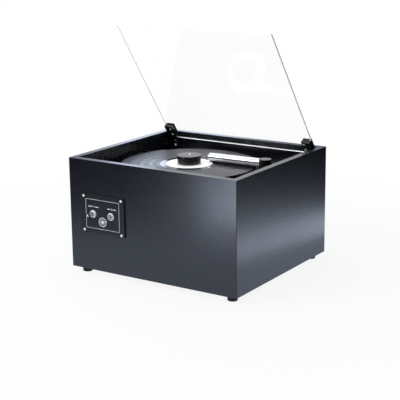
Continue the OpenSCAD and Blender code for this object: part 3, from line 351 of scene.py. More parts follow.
@dataclass(frozen=True)
class Finish:
    """A surface finish, from which one material is made.

    Attributes:
        name: The material's name.
        colour: Its colour, linear.
        roughness: From 0, polished, to 1, chalky.
        metallic: 1 for bare metal.
        grain: Grain per metre.
        relief: Height of the grain in millimetres.
        uneven: How much the roughness varies over the surface.
        tint: How much lighter the grain's high spots are.
        shine: Reflection of a surface that isn't metal, 0.5 for most.
    """

    name: str
    colour: Colour
    roughness: float = 0.5
    metallic: float = 0.0
    grain: float = 700.0
    relief: float = 0.02
    uneven: float = 0.1
    tint: float = 0.25
    shine: float = 0.5

    @cache
    def material(self) -> Material:
        """Makes the finish's material, once.

        Returns:
            The material.
        """
        made = bpy.data.materials.new(self.name + "_finish")
        wires = cleared(made)
        skin = Surface(wires, wires.add("ShaderNodeBsdfPrincipled"),
                       wires.add("ShaderNodeOutputMaterial"))
        wires.put(skin.output.inputs["Surface"], skin.shader.outputs[0])
        skin.fill(Base_Color=(*self.colour, 1.0), Roughness=self.roughness,
                  Metallic=self.metallic, Specular_IOR_Level=self.shine)
        self.dress(skin)
        return made

    def lighter(self) -> Colour:
        """The finish's colour where the grain is high."""
        return tuple(min(1.0, c * (1 + self.tint) + 0.002 * self.tint) for c in self.colour)

    def colour_by(self, skin: Surface, mask: NodeSocket) -> None:
        """Makes the colour lighter where a mask from 0 to 1 is high."""
        skin.fill(Base_Color=skin.wires.blend(mask, self.colour, self.lighter()))

    def bump(self, skin: Surface, height: NodeSocket) -> None:
        """Raises the surface, by as much as the relief.

        Args:
            skin: The material's nodes.
            height: The height, about 0 to 1.
        """
        node = skin.wires.add("ShaderNodeBump")
        node.inputs["Strength"].default_value = 1.0
        node.inputs["Distance"].default_value = self.relief * MM
        skin.wires.put(node.inputs["Height"], height)
        skin.fill(Normal=node.outputs[0])

    def marked(self, skin: Surface, spot: NodeSocket) -> None:
        """Varies the roughness with handling marks.

        Args:
            skin: The material's nodes.
            spot: The coordinates.
        """
        mask = skin.wires.share(MARKS, Vector=spot, Scale=9.0).outputs["Mask"]
        low = max(0.0, self.roughness * (1 - self.uneven))
        high = min(1.0, self.roughness * (1 + self.uneven))
        skin.fill(Roughness=skin.wires.span(mask, (0.0, 1.0), (low, high)))

    def pattern(self, skin: Surface, group: Node, spot: NodeSocket) -> None:
        """Colours and raises the surface by a pattern, and adds handling marks.

        Args:
            skin: The material's nodes.
            group: The pattern's group node, with a tint and a height.
            spot: The coordinates.
        """
        self.colour_by(skin, group.outputs["Tint"])
        self.bump(skin, group.outputs["Height"])
        self.marked(skin, spot)

    def dress(self, skin: Surface) -> None:
        """Adds the surface's detail."""
        spot = skin.wires.place()
        self.pattern(skin, skin.wires.share(GRAIN, Vector=spot, Scale=self.grain), spot)


@dataclass(frozen=True)
class Turned(Finish):
    """A finish with fine rings round an upright axis.

    Attributes:
        centre: A point on the axis, in millimetres.
        rings: Rings per millimetre.
    """

    centre: Point = (0.0, 0.0, 0.0)
    rings: float = 2.0

    def dress(self, skin: Surface) -> None:
        """Adds rings, and the marks of handling."""
        spot = skin.wires.place(self.centre)
        self.pattern(skin, skin.wires.share(RINGS, Vector=spot, Rings_per_mm=self.rings), spot)


@dataclass(frozen=True)
class Vinyl(Turned):
    """Pressed grooves that spread light across themselves.

    Attributes:
        stretch: Anisotropy of the reflection.
        bands: Bands of louder music per millimetre.
    """

    stretch: float = 0.8
    bands: float = 0.22

    def dress(self, skin: Surface) -> None:
        """Adds grooves, bands of louder music, and the pull of the grooves on highlights.

        Args:
            skin: The material's nodes.
        """
        wires = skin.wires
        spot = wires.place(self.centre)
        fine = wires.share(RINGS, Vector=spot, Rings_per_mm=self.rings)
        broad = wires.share(RINGS, Vector=spot, Rings_per_mm=self.bands).outputs["Tint"]
        self.colour_by(skin, broad)
        self.bump(skin, fine.outputs["Height"])
        outward = wires.vector("NORMALIZE",
                               wires.vector("MULTIPLY", spot, (1.0, 1.0, 0.0)).outputs[0])
        skin.fill(Roughness=wires.span(broad, (0.0, 1.0),
                                       (self.roughness * 0.8, self.roughness * 1.25)),
                  Anisotropic=self.stretch, Tangent=outward.outputs[0])


@dataclass(frozen=True)
class Acrylic(Finish):
    """Clear sheet that lets the lamps through.

    Attributes:
        index: Its index of refraction.
    """

    index: float = 1.18

    def dress(self, skin: Surface) -> None:
        """Makes the sheet clear, with faint rubs in its polish.

        Args:
            skin: The material's nodes.
        """
        wires = skin.wires
        skin.fill(Transmission_Weight=1.0, IOR=self.index)
        self.marked(skin, wires.place())
        mixed = wires.add("ShaderNodeMixShader")
        inputs = (wires.add("ShaderNodeLightPath").outputs["Is Shadow Ray"],
                  skin.shader.outputs[0], wires.add("ShaderNodeBsdfTransparent").outputs[0])
        for socket, value in zip(mixed.inputs, inputs):
            wires.put(socket, value)
        wires.put(skin.output.inputs["Surface"], mixed.outputs[0])


@dataclass(frozen=True)
class Velvet(Finish):
    """Short pile cloth."""

    def dress(self, skin: Surface) -> None:
        """Adds the pile and its sheen."""
        Finish.dress(self, skin)
        skin.fill(Sheen_Weight=0.4, Sheen_Roughness=0.35)


WHITE: Colour = (1.0, 1.0, 1.0)
COOL: Colour = (0.72, 0.81, 1.0)
SPINDLE: Point = (-27.0, 0.0, 0.0)
POST: Point = (135.5, 42.5, 0.0)

LAMINATE = Finish("black_laminate", (0.0019, 0.0025, 0.0042), 0.27, grain=620.0, relief=0.07,
                  uneven=0.07, tint=0.6, shine=0.75)
EDGE_BAND = Finish("black_edge_band", (0.006, 0.0065, 0.008), 0.3, grain=500.0, relief=0.02)
BOARD_CORE = Finish("board_core", (0.05, 0.024, 0.014), 0.7, grain=900.0, relief=0.05, tint=0.6)
RAW_BOARD = Finish("raw_board", (0.06, 0.045, 0.034), 0.75, grain=420.0, relief=0.08, tint=0.5)
SOFTWOOD = Finish("softwood", (0.5, 0.34, 0.19), 0.6, grain=160.0, relief=0.06, tint=0.2)
DECK_PAINT = Finish("deck_paint", (0.004, 0.0042, 0.005), 0.55, grain=900.0, relief=0.02)
RUBBER = Finish("black_rubber", (0.012, 0.012, 0.013), 0.62, grain=1500.0, relief=0.03)
PLATE = Finish("anodised_plate", (0.006, 0.0065, 0.008), 0.34, grain=2200.0, relief=0.008)
PRINT = Finish("white_print", (0.86, 0.87, 0.88), 0.5, grain=2500.0, relief=0.004, tint=0.05)
CHROME = Finish("chrome", (0.86, 0.87, 0.89), 0.05, metallic=1.0, grain=60.0, relief=0.0015,
                uneven=0.5, tint=0.04)
NICKEL = Finish("nickel", (0.72, 0.72, 0.72), 0.16, metallic=1.0, grain=900.0, relief=0.004,
                uneven=0.3, tint=0.08)
ZINC = Finish("zinc", (0.5, 0.51, 0.53), 0.32, metallic=1.0, grain=800.0, relief=0.01)
DARK_STEEL = Finish("blackened_steel", (0.06, 0.06, 0.065), 0.4, metallic=0.8, grain=900.0,
                    relief=0.01)
# Plated screws and nuts: their own colour is pale plated metal, and the near-white matt share is a
# painted glint that keeps them bright in shade.
PAINTED_GLINT_PLATE = Finish("plate_with_painted_glint", (0.95, 0.95, 0.95), 0.25, metallic=0.1, grain=900.0, relief=0.004,
                uneven=0.3, tint=0.04)
HINGE = Finish("hinge_black", (0.005, 0.0052, 0.006), 0.2, grain=1400.0, relief=0.008)
ACRYLIC = Acrylic("clear_acrylic", (1.0, 1.0, 1.0), 0.012, uneven=0.9)
ARM_METAL = Finish("arm_bright", (0.88, 0.89, 0.91), 0.16, metallic=0.5, grain=700.0, relief=0.003,
                   uneven=0.3, tint=0.04)
SHEET_EDGE = Finish("sawn_acrylic_edge", (0.85, 0.88, 0.92), 0.28, grain=900.0, relief=0.02,
                    tint=0.1)
GROOVES = Vinyl("vinyl_grooves", (0.004, 0.004, 0.0045), 0.4, relief=0.002, tint=0.6,
                shine=0.9, centre=SPINDLE, rings=6.0, stretch=0.9)
WAX = Turned("vinyl_smooth", (0.004, 0.004, 0.0045), 0.13, relief=0.0006, uneven=0.4,
             centre=SPINDLE, rings=0.6)
PAPER = Finish("label_paper", (0.88, 0.88, 0.86), 0.55, grain=1600.0, relief=0.01, tint=0.04)
CLAMP = Turned("clamp_black", (0.005, 0.0052, 0.006), 0.26, relief=0.006, centre=SPINDLE,
               rings=3.0, tint=0.6)
PLATTER = Turned("platter_black", (0.03, 0.031, 0.034), 0.35, metallic=0.6, relief=0.006,
                 centre=SPINDLE, rings=2.0)
POST_BLACK = Turned("post_black", (0.004, 0.0042, 0.005), 0.24, relief=0.004, centre=POST,
                    rings=2.5, tint=0.5)
VELVET = Velvet("black_velvet", (0.005, 0.005, 0.0055), 0.9, grain=2600.0, relief=0.12)
BRONZE = Turned("bronze", (0.5, 0.33, 0.13), 0.3, metallic=1.0, relief=0.006, centre=POST)
CAST = Finish("cast_alloy", (0.4, 0.41, 0.43), 0.42, metallic=1.0, grain=500.0, relief=0.03)
MOTOR = Finish("motor_grey", (0.13, 0.14, 0.16), 0.45, grain=800.0, relief=0.02)
PLASTIC = Finish("black_plastic", (0.011, 0.0115, 0.013), 0.42, grain=1300.0, relief=0.02)
HOSE = Finish("hose_rubber", (0.02, 0.021, 0.023), 0.5, grain=900.0, relief=0.03)
MILKY = Finish("milky_plastic", (0.62, 0.64, 0.62), 0.4, grain=500.0, relief=0.02, tint=0.08)
ALLOY = Finish("pressed_alloy", (0.55, 0.56, 0.58), 0.3, metallic=1.0, grain=700.0, relief=0.01)
CREAM = Finish("cream_plastic", (0.6, 0.57, 0.47), 0.45, grain=900.0, relief=0.01, tint=0.1)
TAP_GREY = Finish("tap_grey", (0.07, 0.074, 0.08), 0.42, grain=1100.0, relief=0.02)
TAP_RED = Finish("tap_red", (0.42, 0.035, 0.025), 0.36, grain=1100.0, relief=0.01, tint=0.15)


# Meshes


def placed(name: str, data: ID) -> Object:
    """Puts a new object in the scene.

    Args:
        name: The object's name.
        data: Its mesh, camera, light or text.

    Returns:
        The object.
    """
    item = bpy.data.objects.new(name, data)
    bpy.context.scene.collection.objects.link(item)
    return item


def mesh_object(name: str, bm: BMesh) -> Object:
    """Puts a mesh in the scene.

    Args:
        name: The object's and the mesh's name.
        bm: The mesh, freed here.

    Returns:
        The object.
    """
    mesh = bpy.data.meshes.new(name)
    bm.to_mesh(mesh)
    bm.free()
    return placed(name, mesh)


def final_mesh(item: Object) -> BMesh:
    """The mesh of an object as its modifiers or its text leave it.

    Args:
        item: The object.

    Returns:
        The mesh.
    """
    bm = bmesh.new()
    bm.from_mesh(bpy.data.meshes.new_from_object(
        item.evaluated_get(bpy.context.evaluated_depsgraph_get())))
    return bm


def cad_copy(node: str) -> BMesh:
    """A CAD node's shape with its loose triangles joined into whole faces.

    Args:
        node: The node's name.

    Returns:
        The mesh, in millimetres.
    """
    bm = bmesh.new()
    bm.from_mesh(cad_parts[node].data)
    bmesh.ops.scale(bm, vec=(1 / MM,) * 3, verts=bm.verts)
    bmesh.ops.remove_doubles(bm, verts=bm.verts, dist=0.004)
    bmesh.ops.dissolve_limit(bm, angle_limit=math.radians(0.3), use_dissolve_boundaries=False,
                             verts=bm.verts, edges=bm.edges)
    return bm


def round_edges(bm: BMesh, radius: float, segments: int = 2, sharper: float = 40.0,
                where: Callable[[BMEdge], bool] | None = None) -> list[BMFace]:
    """Rounds the sharp edges of a mesh.

    Args:
        bm: The mesh.
        radius: Size of the rounding.
        segments: Faces across it.
        sharper: Angle in degrees from which an edge is sharp.
        where: Test that an edge passes, or None for all.

    Returns:
        The faces that the rounding made.
    """
    edges = [
        e for e in bm.edges
        if len(e.link_faces) == 2 and e.calc_face_angle(0.0) > math.radians(sharper)
        and (where is None or where(e))
    ]
    made = bmesh.ops.bevel(bm, geom=edges, offset=radius, offset_type="OFFSET",
                           segments=segments, profile=0.5, affect="EDGES", clamp_overlap=True,
                           material=-1)
    return made["faces"]


def turned(profile: Sequence[tuple[float, float]], steps: int = 96,
           centre: Point = (0, 0, 0)) -> BMesh:
    """A solid turned round the Z axis from a closed outline.

    Args:
        profile: Radius and height of each corner, in order.
        steps: Sides of the turned shape.
        centre: Where its axis and its zero height are.

    Returns:
        The mesh, in millimetres.
    """
    bm = bmesh.new()
    ring = [bm.verts.new((r, 0.0, z)) for r, z in profile]
    edges = [bm.edges.new((a, b)) for a, b in zip(ring, ring[1:] + ring[:1])]
    bmesh.ops.spin(bm, geom=ring + edges, cent=(0, 0, 0), axis=(0, 0, 1), angle=2 * math.pi,
                   steps=steps, use_merge=True, use_duplicate=False)
    bmesh.ops.remove_doubles(bm, verts=bm.verts, dist=0.001)
    bmesh.ops.recalc_face_normals(bm, faces=bm.faces)
    bmesh.ops.translate(bm, vec=centre, verts=bm.verts)
    return bm


def box(low: Point, high: Point) -> BMesh:
    """A block between two corners.

    Args:
        low: Its lowest corner.
        high: Its highest corner.

    Returns:
        The mesh, in millimetres.
    """
    bm = bmesh.new()
    size = Vector(high) - Vector(low)
    middle = (Vector(high) + Vector(low)) / 2
    bmesh.ops.create_cube(bm, size=1.0,
                          matrix=Matrix.Translation(middle) @ Matrix.Diagonal((*size, 1.0)))
    return bm


def joined(parts: Iterable[BMesh]) -> BMesh:
    """Puts several meshes into one, and frees them.

    Args:
        parts: The meshes.

    Returns:
        One mesh with all of them.
    """
    whole = bmesh.new()
    for part in parts:
        mesh = bpy.data.meshes.new("part")
        part.to_mesh(mesh)
        part.free()
        whole.from_mesh(mesh)
        bpy.data.meshes.remove(mesh)
    return whole


def add_piece(name: str, bm: BMesh, finishes: Finish | Sequence[Finish], body: str,
              stands_for: Sequence[str] = (), angle: float = 32.0) -> Object:
    """Turns a mesh into a piece that rides on a body.

    Args:
        name: The piece's name.
        bm: Its mesh in millimetres, freed here.
        finishes: One finish, or one for each material index.
        body: The CAD body that it rides on.
        stands_for: CAD nodes that it replaces.
        angle: Angle in degrees from which an edge stays sharp.

    Returns:
        The piece's object.
    """
    bmesh.ops.scale(bm, vec=(MM,) * 3, verts=bm.verts)
    piece = mesh_object(name, bm)
    mesh = piece.data
    for finish in [finishes] if isinstance(finishes, Finish) else finishes:
        mesh.materials.append(finish.material())
    mesh.shade_smooth()
    mesh.set_sharp_from_angle(angle=math.radians(angle))
    even = piece.modifiers.new("even_normals", "WEIGHTED_NORMAL")
    even.keep_sharp = True
    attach(piece, body)
    if stands_for:
        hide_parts(*stands_for)
    log.info("piece %s on %s, %d faces", name, body, len(mesh.polygons))
    return piece


def rounded_node(node: str, finish: Finish, body: str, radius: float = 0.4,
                 segments: int = 2) -> Object:
    """A CAD node's shape again, with its edges rounded.

    Args:
        node: The CAD node, which the piece replaces.
        finish: Its finish.
        body: The body that it rides on.
        radius: Size of the rounding.
        segments: Faces across the rounding.

    Returns:
        The piece's object.
    """
    bm = cad_copy(node)
    round_edges(bm, radius, segments)
    return add_piece(node + "_finished", bm, finish, body, [node])


def paint_node(node: str, finish: Finish) -> None:
    """Gives a CAD node's own object a finish.

    Args:
        node: The CAD node.
        finish: Its finish.
    """
    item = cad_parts[node]
    if not item.material_slots:
        item.data.materials.append(finish.material())
    for place in item.material_slots:
        place.material = finish.material()
    log.info("node %s is %s", node, finish.name)


@dataclass(frozen=True)
class PanScrew:
    """Pan head screw with a cross recess, its head standing on z = 0.

    Attributes:
        head_d: Diameter of the head.
        head_h: Height of the head.
        shank_d: Diameter of the shank.
        shank_len: Length of the shank.
        first_turn: Turn of the first screw's recess, in radians.
        next_turn: Further turn of each screw after it.
    """

    head_d: float
    head_h: float
    shank_d: float
    shank_len: float
    first_turn: float = 0.35
    next_turn: float = 0.8

    def build(self) -> BMesh:
        """The screw's mesh, with its dome and its recess.

        Returns:
            The mesh, in millimetres.
        """
        r, h = self.head_d / 2, self.head_h
        dome = [(r * math.cos(math.radians(a)), h * (0.4 + 0.6 * math.sin(math.radians(a))))
                for a in (0, 18, 36, 54, 72)]
        outline = [(0, -self.shank_len), (self.shank_d / 2 - 0.4, -self.shank_len),
                   (self.shank_d / 2, 0.6 - self.shank_len), (self.shank_d / 2, 0), (r, 0),
                   *dome, (0, h)]
        body = mesh_object("screw", turned(outline, 28))
        reach, half, deep = self.head_d * 0.3, self.head_d * 0.07, h * 0.45
        cutters = [mesh_object("cut", box((-x, -y, deep), (x, y, h + 1)))
                   for x, y in ((reach, half), (half, reach))]
        for cutter in cutters:
            cut = body.modifiers.new("recess", "BOOLEAN")
            cut.operation, cut.object, cut.solver = "DIFFERENCE", cutter, "EXACT"
        bm = final_mesh(body)
        for item in (body, *cutters):
            bpy.data.objects.remove(item)
        return bm

    def fit(self, node: str, finish: Finish, body: str, places: Sequence[Point],
            facing: Facing, turn: Matrix | None = None) -> Object:
        """Fits a group of screws in place of a CAD node.

        Args:
            node: The CAD node that holds the plain screws.
            finish: Their finish.
            body: The body that they ride on.
            places: Where each head stands.
            facing: Which way the heads point.
            turn: A turn of the whole group, or None.

        Returns:
            The piece's object.
        """
        one = self.build()
        copies = []
        for index, place in enumerate(places):
            spin = Matrix.Rotation(self.first_turn + self.next_turn * index, 4, "Z")
            copy = one.copy()
            bmesh.ops.transform(copy, matrix=(turn or Matrix.Identity(4))
                                @ Matrix.Translation(place) @ facing.value @ spin,
                                verts=copy.verts)
            copies.append(copy)
        one.free()
        return add_piece(node + "_finished", joined(copies), finish, body, [node])


# The studio


@dataclass(frozen=True)
class Lamp:
    """A soft lamp, that neither the camera nor the clear lid shows.

    Attributes:
        name: Its name.
        place: Where it is, in metres.
        target: The point it faces.
        size: Its width and height.
        power: Its power in watts.
        colour: Its colour.
    """

    name: str
    place: Point
    target: Point
    size: tuple[float, float]
    power: float
    colour: Colour = WHITE

    def hang(self) -> None:
        """Puts the lamp in the scene."""
        light = bpy.data.lights.new(self.name, "AREA")
        light.shape, light.size, light.size_y = "RECTANGLE", *self.size
        light.energy, light.color = self.power, self.colour
        item = placed(self.name, light)
        aim = (Vector(self.target) - Vector(self.place)).to_track_quat("-Z", "Y")
        item.matrix_world = Matrix.Translation(self.place) @ aim.to_matrix().to_4x4()
        item.visible_camera = item.visible_transmission = False


LAMPS = (
    Lamp("top", (0.0, 0.1, 1.7), (0.0, 0.0, 0.2), (1.2, 1.0), 11.0),
    Lamp("key", (-0.9, -1.3, 1.4), (0.0, 0.0, 0.15), (0.8, 0.6), 22.0),
    Lamp("backdrop", (-1.15, 1.6, 1.5), (0.0, 0.0, 0.25), (0.6, 2.2), 12.0, COOL),
    Lamp("glare", (-0.22, -0.92, 0.02), (-0.18, -0.85, 1.0), (0.12, 0.6), 3.0, COOL),
    Lamp("low_right", (0.33, 0.25, 0.02), (0.18, 0.214, 1.0), (0.5, 0.1), 0.25, COOL),
)


@dataclass
class Studio:
    """Camera, floor, backdrop and lamps.

    Attributes:
        eye: The camera's place in metres.
        yaw: Its turn to the left of +Y, in radians.
        pitch: Its tilt downwards.
        roll: Its lean.
        focal: Its focal length in picture widths.
        painted_pool: Radius of a painted pool of light on the floor, which only polished faces
            mirror.
        painted_pool_fade: How fast that painted glow fades outside it, per metre.
        lit_way: Way to the bright part of the surround that polished faces mirror.
        fill: Strength of the surround on matt faces.
    """

    eye: Point = (1.29358, -1.95630, 0.75062)
    yaw: float = 0.58436
    pitch: float = 0.25337
    roll: float = -0.01073
    focal: float = 1130.88 / 400
    painted_pool: float = 0.55
    painted_pool_fade: float = 4.0
    lit_way: Point = (-0.55, 0.83, 0.0)
    fill: float = 0.3

    def camera(self) -> None:
        """Puts the camera at the photograph's viewpoint."""
        lens = bpy.data.cameras.new("camera")
        lens.sensor_width = 36.0
        lens.lens = self.focal * lens.sensor_width
        lens.clip_start, lens.clip_end = 0.05, 60.0
        item = placed("camera", lens)
        forward = Vector((-math.sin(self.yaw) * math.cos(self.pitch),
                          math.cos(self.yaw) * math.cos(self.pitch), -math.sin(self.pitch)))
        right = Vector((math.cos(self.yaw), math.sin(self.yaw), 0.0))
        upward = right.cross(forward)
        lean = math.cos(self.roll) * right + math.sin(self.roll) * upward
        top = -math.sin(self.roll) * right + math.cos(self.roll) * upward
        turn = Matrix((lean, top, -forward)).transposed().to_4x4()
        item.matrix_world = Matrix.Translation(self.eye) @ turn
        bpy.context.scene.camera = item

    @staticmethod
    def seen(wires: Wiring, path: Node) -> NodeSocket:
        """1 for a ray that the eye follows, through the lid too, and else 0."""
        return wires.sum("MAXIMUM", path.outputs["Is Camera Ray"],
                         path.outputs["Is Transmission Ray"])

    def floor(self) -> None:
        """Lays a white floor that keeps the machine's shadow, with a painted glow for reflections.
        """
        bm = bmesh.new()
        bmesh.ops.create_grid(bm, x_segments=1, y_segments=1, size=8.0)
        item = mesh_object("floor", bm)
        paint = bpy.data.materials.new("floor")
        wires = cleared(paint)
        away = wires.vector("LENGTH", wires.place()).outputs["Value"]
        path = wires.add("ShaderNodeLightPath")
        matt = wires.add("ShaderNodeBsdfDiffuse")
        matt.inputs["Color"].default_value = (0.82, 0.82, 0.82, 1.0)
        glow = wires.add("ShaderNodeEmission")
        seen = self.seen(wires, path)
        # Painted pool of light: the floor glows for reflections only, strongest near the machine.
        fade = wires.sum("EXPONENT", wires.sum("MULTIPLY", away, -self.painted_pool_fade))
        painted_pool = wires.sum("MULTIPLY", fade, math.exp(self.painted_pool_fade * self.painted_pool), clamp=True)
        mirrored = wires.sum("MULTIPLY", path.outputs["Is Glossy Ray"], painted_pool)
        wires.put(glow.inputs["Strength"], wires.sum("MAXIMUM", seen, mirrored))
        wires.put(glow.inputs["Color"], wires.blend(seen, COOL, WHITE))
        share = wires.sum("MULTIPLY", seen, wires.span(away, (0.3, 1.1), (0.9, 1.0), True))
        mix = wires.add("ShaderNodeMixShader")
        wires.put(mix.inputs[0], wires.sum("MAXIMUM", share, path.outputs["Is Glossy Ray"]))
        wires.put(mix.inputs[1], matt.outputs[0])
        wires.put(mix.inputs[2], glow.outputs[0])
        output = wires.add("ShaderNodeOutputMaterial")
        wires.put(output.inputs["Surface"], mix.outputs[0])
        item.data.materials.append(paint)

    def world(self) -> None:
        """A white surround for the eye, and a soft one from the back left for reflections."""
        world = bpy.data.worlds.new("surround")
        wires = cleared(world)
        path = wires.add("ShaderNodeLightPath")
        way = wires.add("ShaderNodeTexCoord").outputs["Generated"]
        lean = wires.vector("DOT_PRODUCT", way, Vector(self.lit_way).normalized())
        height = wires.add("ShaderNodeSeparateXYZ")
        wires.put(height.inputs[0], way)
        flat = wires.sum("SQRT", wires.sum("SUBTRACT", 1.0001,
                                           wires.sum("POWER", height.outputs["Z"], 2.0)))
        across = wires.span(wires.sum("DIVIDE", lean.outputs["Value"], flat), (0.88, 0.97),
                            (0.02, 1.0), smooth=True)
        low = wires.span(height.outputs["Z"], (0.75, 0.95), (1.0, 0.03), smooth=True)
        lifted = wires.span(height.outputs["Z"], (0.12, 0.24), (0.05, 1.0), smooth=True)
        soft = wires.sum("MULTIPLY", wires.sum("MULTIPLY", across, low), lifted)
        glossy = wires.sum("MULTIPLY", path.outputs["Is Glossy Ray"], soft)
        seen = self.seen(wires, path)
        fill = wires.sum("MULTIPLY", path.outputs["Is Diffuse Ray"], self.fill)
        back = wires.add("ShaderNodeBackground")
        wires.put(back.inputs["Color"], wires.blend(seen, COOL, WHITE))
        wires.put(back.inputs["Strength"],
                  wires.sum("MAXIMUM", wires.sum("MAXIMUM", seen, glossy), fill))
        output = wires.add("ShaderNodeOutputWorld")
        wires.put(output.inputs["Surface"], back.outputs[0])
        bpy.context.scene.world = world

    def build(self) -> None:
        """Sets up the whole studio."""
        self.camera()
        self.floor()
        self.world()
        for lamp in LAMPS:
            lamp.hang()
        bpy.context.scene.view_settings.view_transform = "Standard"


# The machine


@dataclass
class Cabinet:
    """Box of four mitred panels on rubber feet.

    Attributes:
        half_w: Half its width.
        half_d: Half its depth.
        bottom: Height of its lower edge.
        rim: Height of its upper edge.
        seam: Width by which a mitred corner's sharp edge is broken.
        foot: Distances of a foot from the middle.
        foot_seat: Height of a foot screw's head.
    """

    half_w: float = 205.0
    half_d: float = 185.0
    bottom: float = 13.0
    rim: float = 249.0
    seam: float = 0.7
    foot: tuple[float, float] = (182.0, 163.0)
    foot_seat: float = 4.0

    def at_corner(self, edge: BMEdge) -> bool:
        """Tests for one of the outer upright edges.

        Args:
            edge: The edge to test.

        Returns:
            True for such an edge.
        """
        low, high = sorted((v.co for v in edge.verts), key=lambda spot: spot.z)
        outer = abs(abs(low.x) - self.half_w) < NEAR and abs(abs(low.y) - self.half_d) < NEAR
        return outer and high.z - low.z > self.rim / 2

    def at_end(self, edge: BMEdge) -> bool:
        """True for an edge that lies level with the top or the bottom."""
        return any(all(abs(v.co.z - level) < NEAR for v in edge.verts)
                   for level in (self.bottom, self.rim))

    def panels(self) -> None:
        """Makes the four panels, with the board showing at their corners."""
        for side in ("front", "back", "left", "right"):
            bm = cad_copy(side + "_panel")
            for face in round_edges(bm, self.seam, 1, where=self.at_corner):
                face.material_index = 1
            round_edges(bm, 0.5, 2, where=self.at_end)
            for face in bm.faces:
                if face.calc_center_median().z > self.rim - 2 * NEAR:
                    face.material_index = 2
            add_piece(side + "_panel_laminated", bm, (LAMINATE, BOARD_CORE, EDGE_BAND),
                      "cabinet", [side + "_panel"])

    def build(self) -> None:
        """Makes the cabinet's pieces."""
        self.panels()
        rounded_node("rubber_feet", RUBBER, "cabinet", 1.2, 3)
        feet = [(s * self.foot[0], t * self.foot[1], self.foot_seat)
                for s in (-1, 1) for t in (-1, 1)]
        PanScrew(8.0, 2.5, 4.0, 17.0).fit("foot_screws", ZINC, "cabinet", feet,
                                          Facing.DOWN)
        paint_node("base_panel", RAW_BOARD)
        paint_node("deck_cleats", SOFTWOOD)


@dataclass
class Deck:
    """Plate that carries the turntable and the arm.

    Attributes:
        top: Height of its upper face.
        side: Sideways place of the screws in the side cleats.
        end: Front to back place of the screws in the end cleats.
        pitch: Place of a screw along its cleat.
    """

    top: float = 204.0
    side: float = 183.5
    end: float = 163.5
    pitch: float = 110.0

    def build(self) -> None:
        """Makes the deck's pieces."""
        paint_node("deck_plate", DECK_PAINT)
        spots = [(s * self.side, t * self.pitch, self.top) for s in (-1, 1) for t in (-1, 1)]
        spots += [(t * self.pitch, s * self.end, self.top) for s in (-1, 1) for t in (-1, 1)]
        PanScrew(7.5, 2.0, 4.0, 16.0).fit("deck_screws", DARK_STEEL, "cabinet",
                                          spots, Facing.UP)


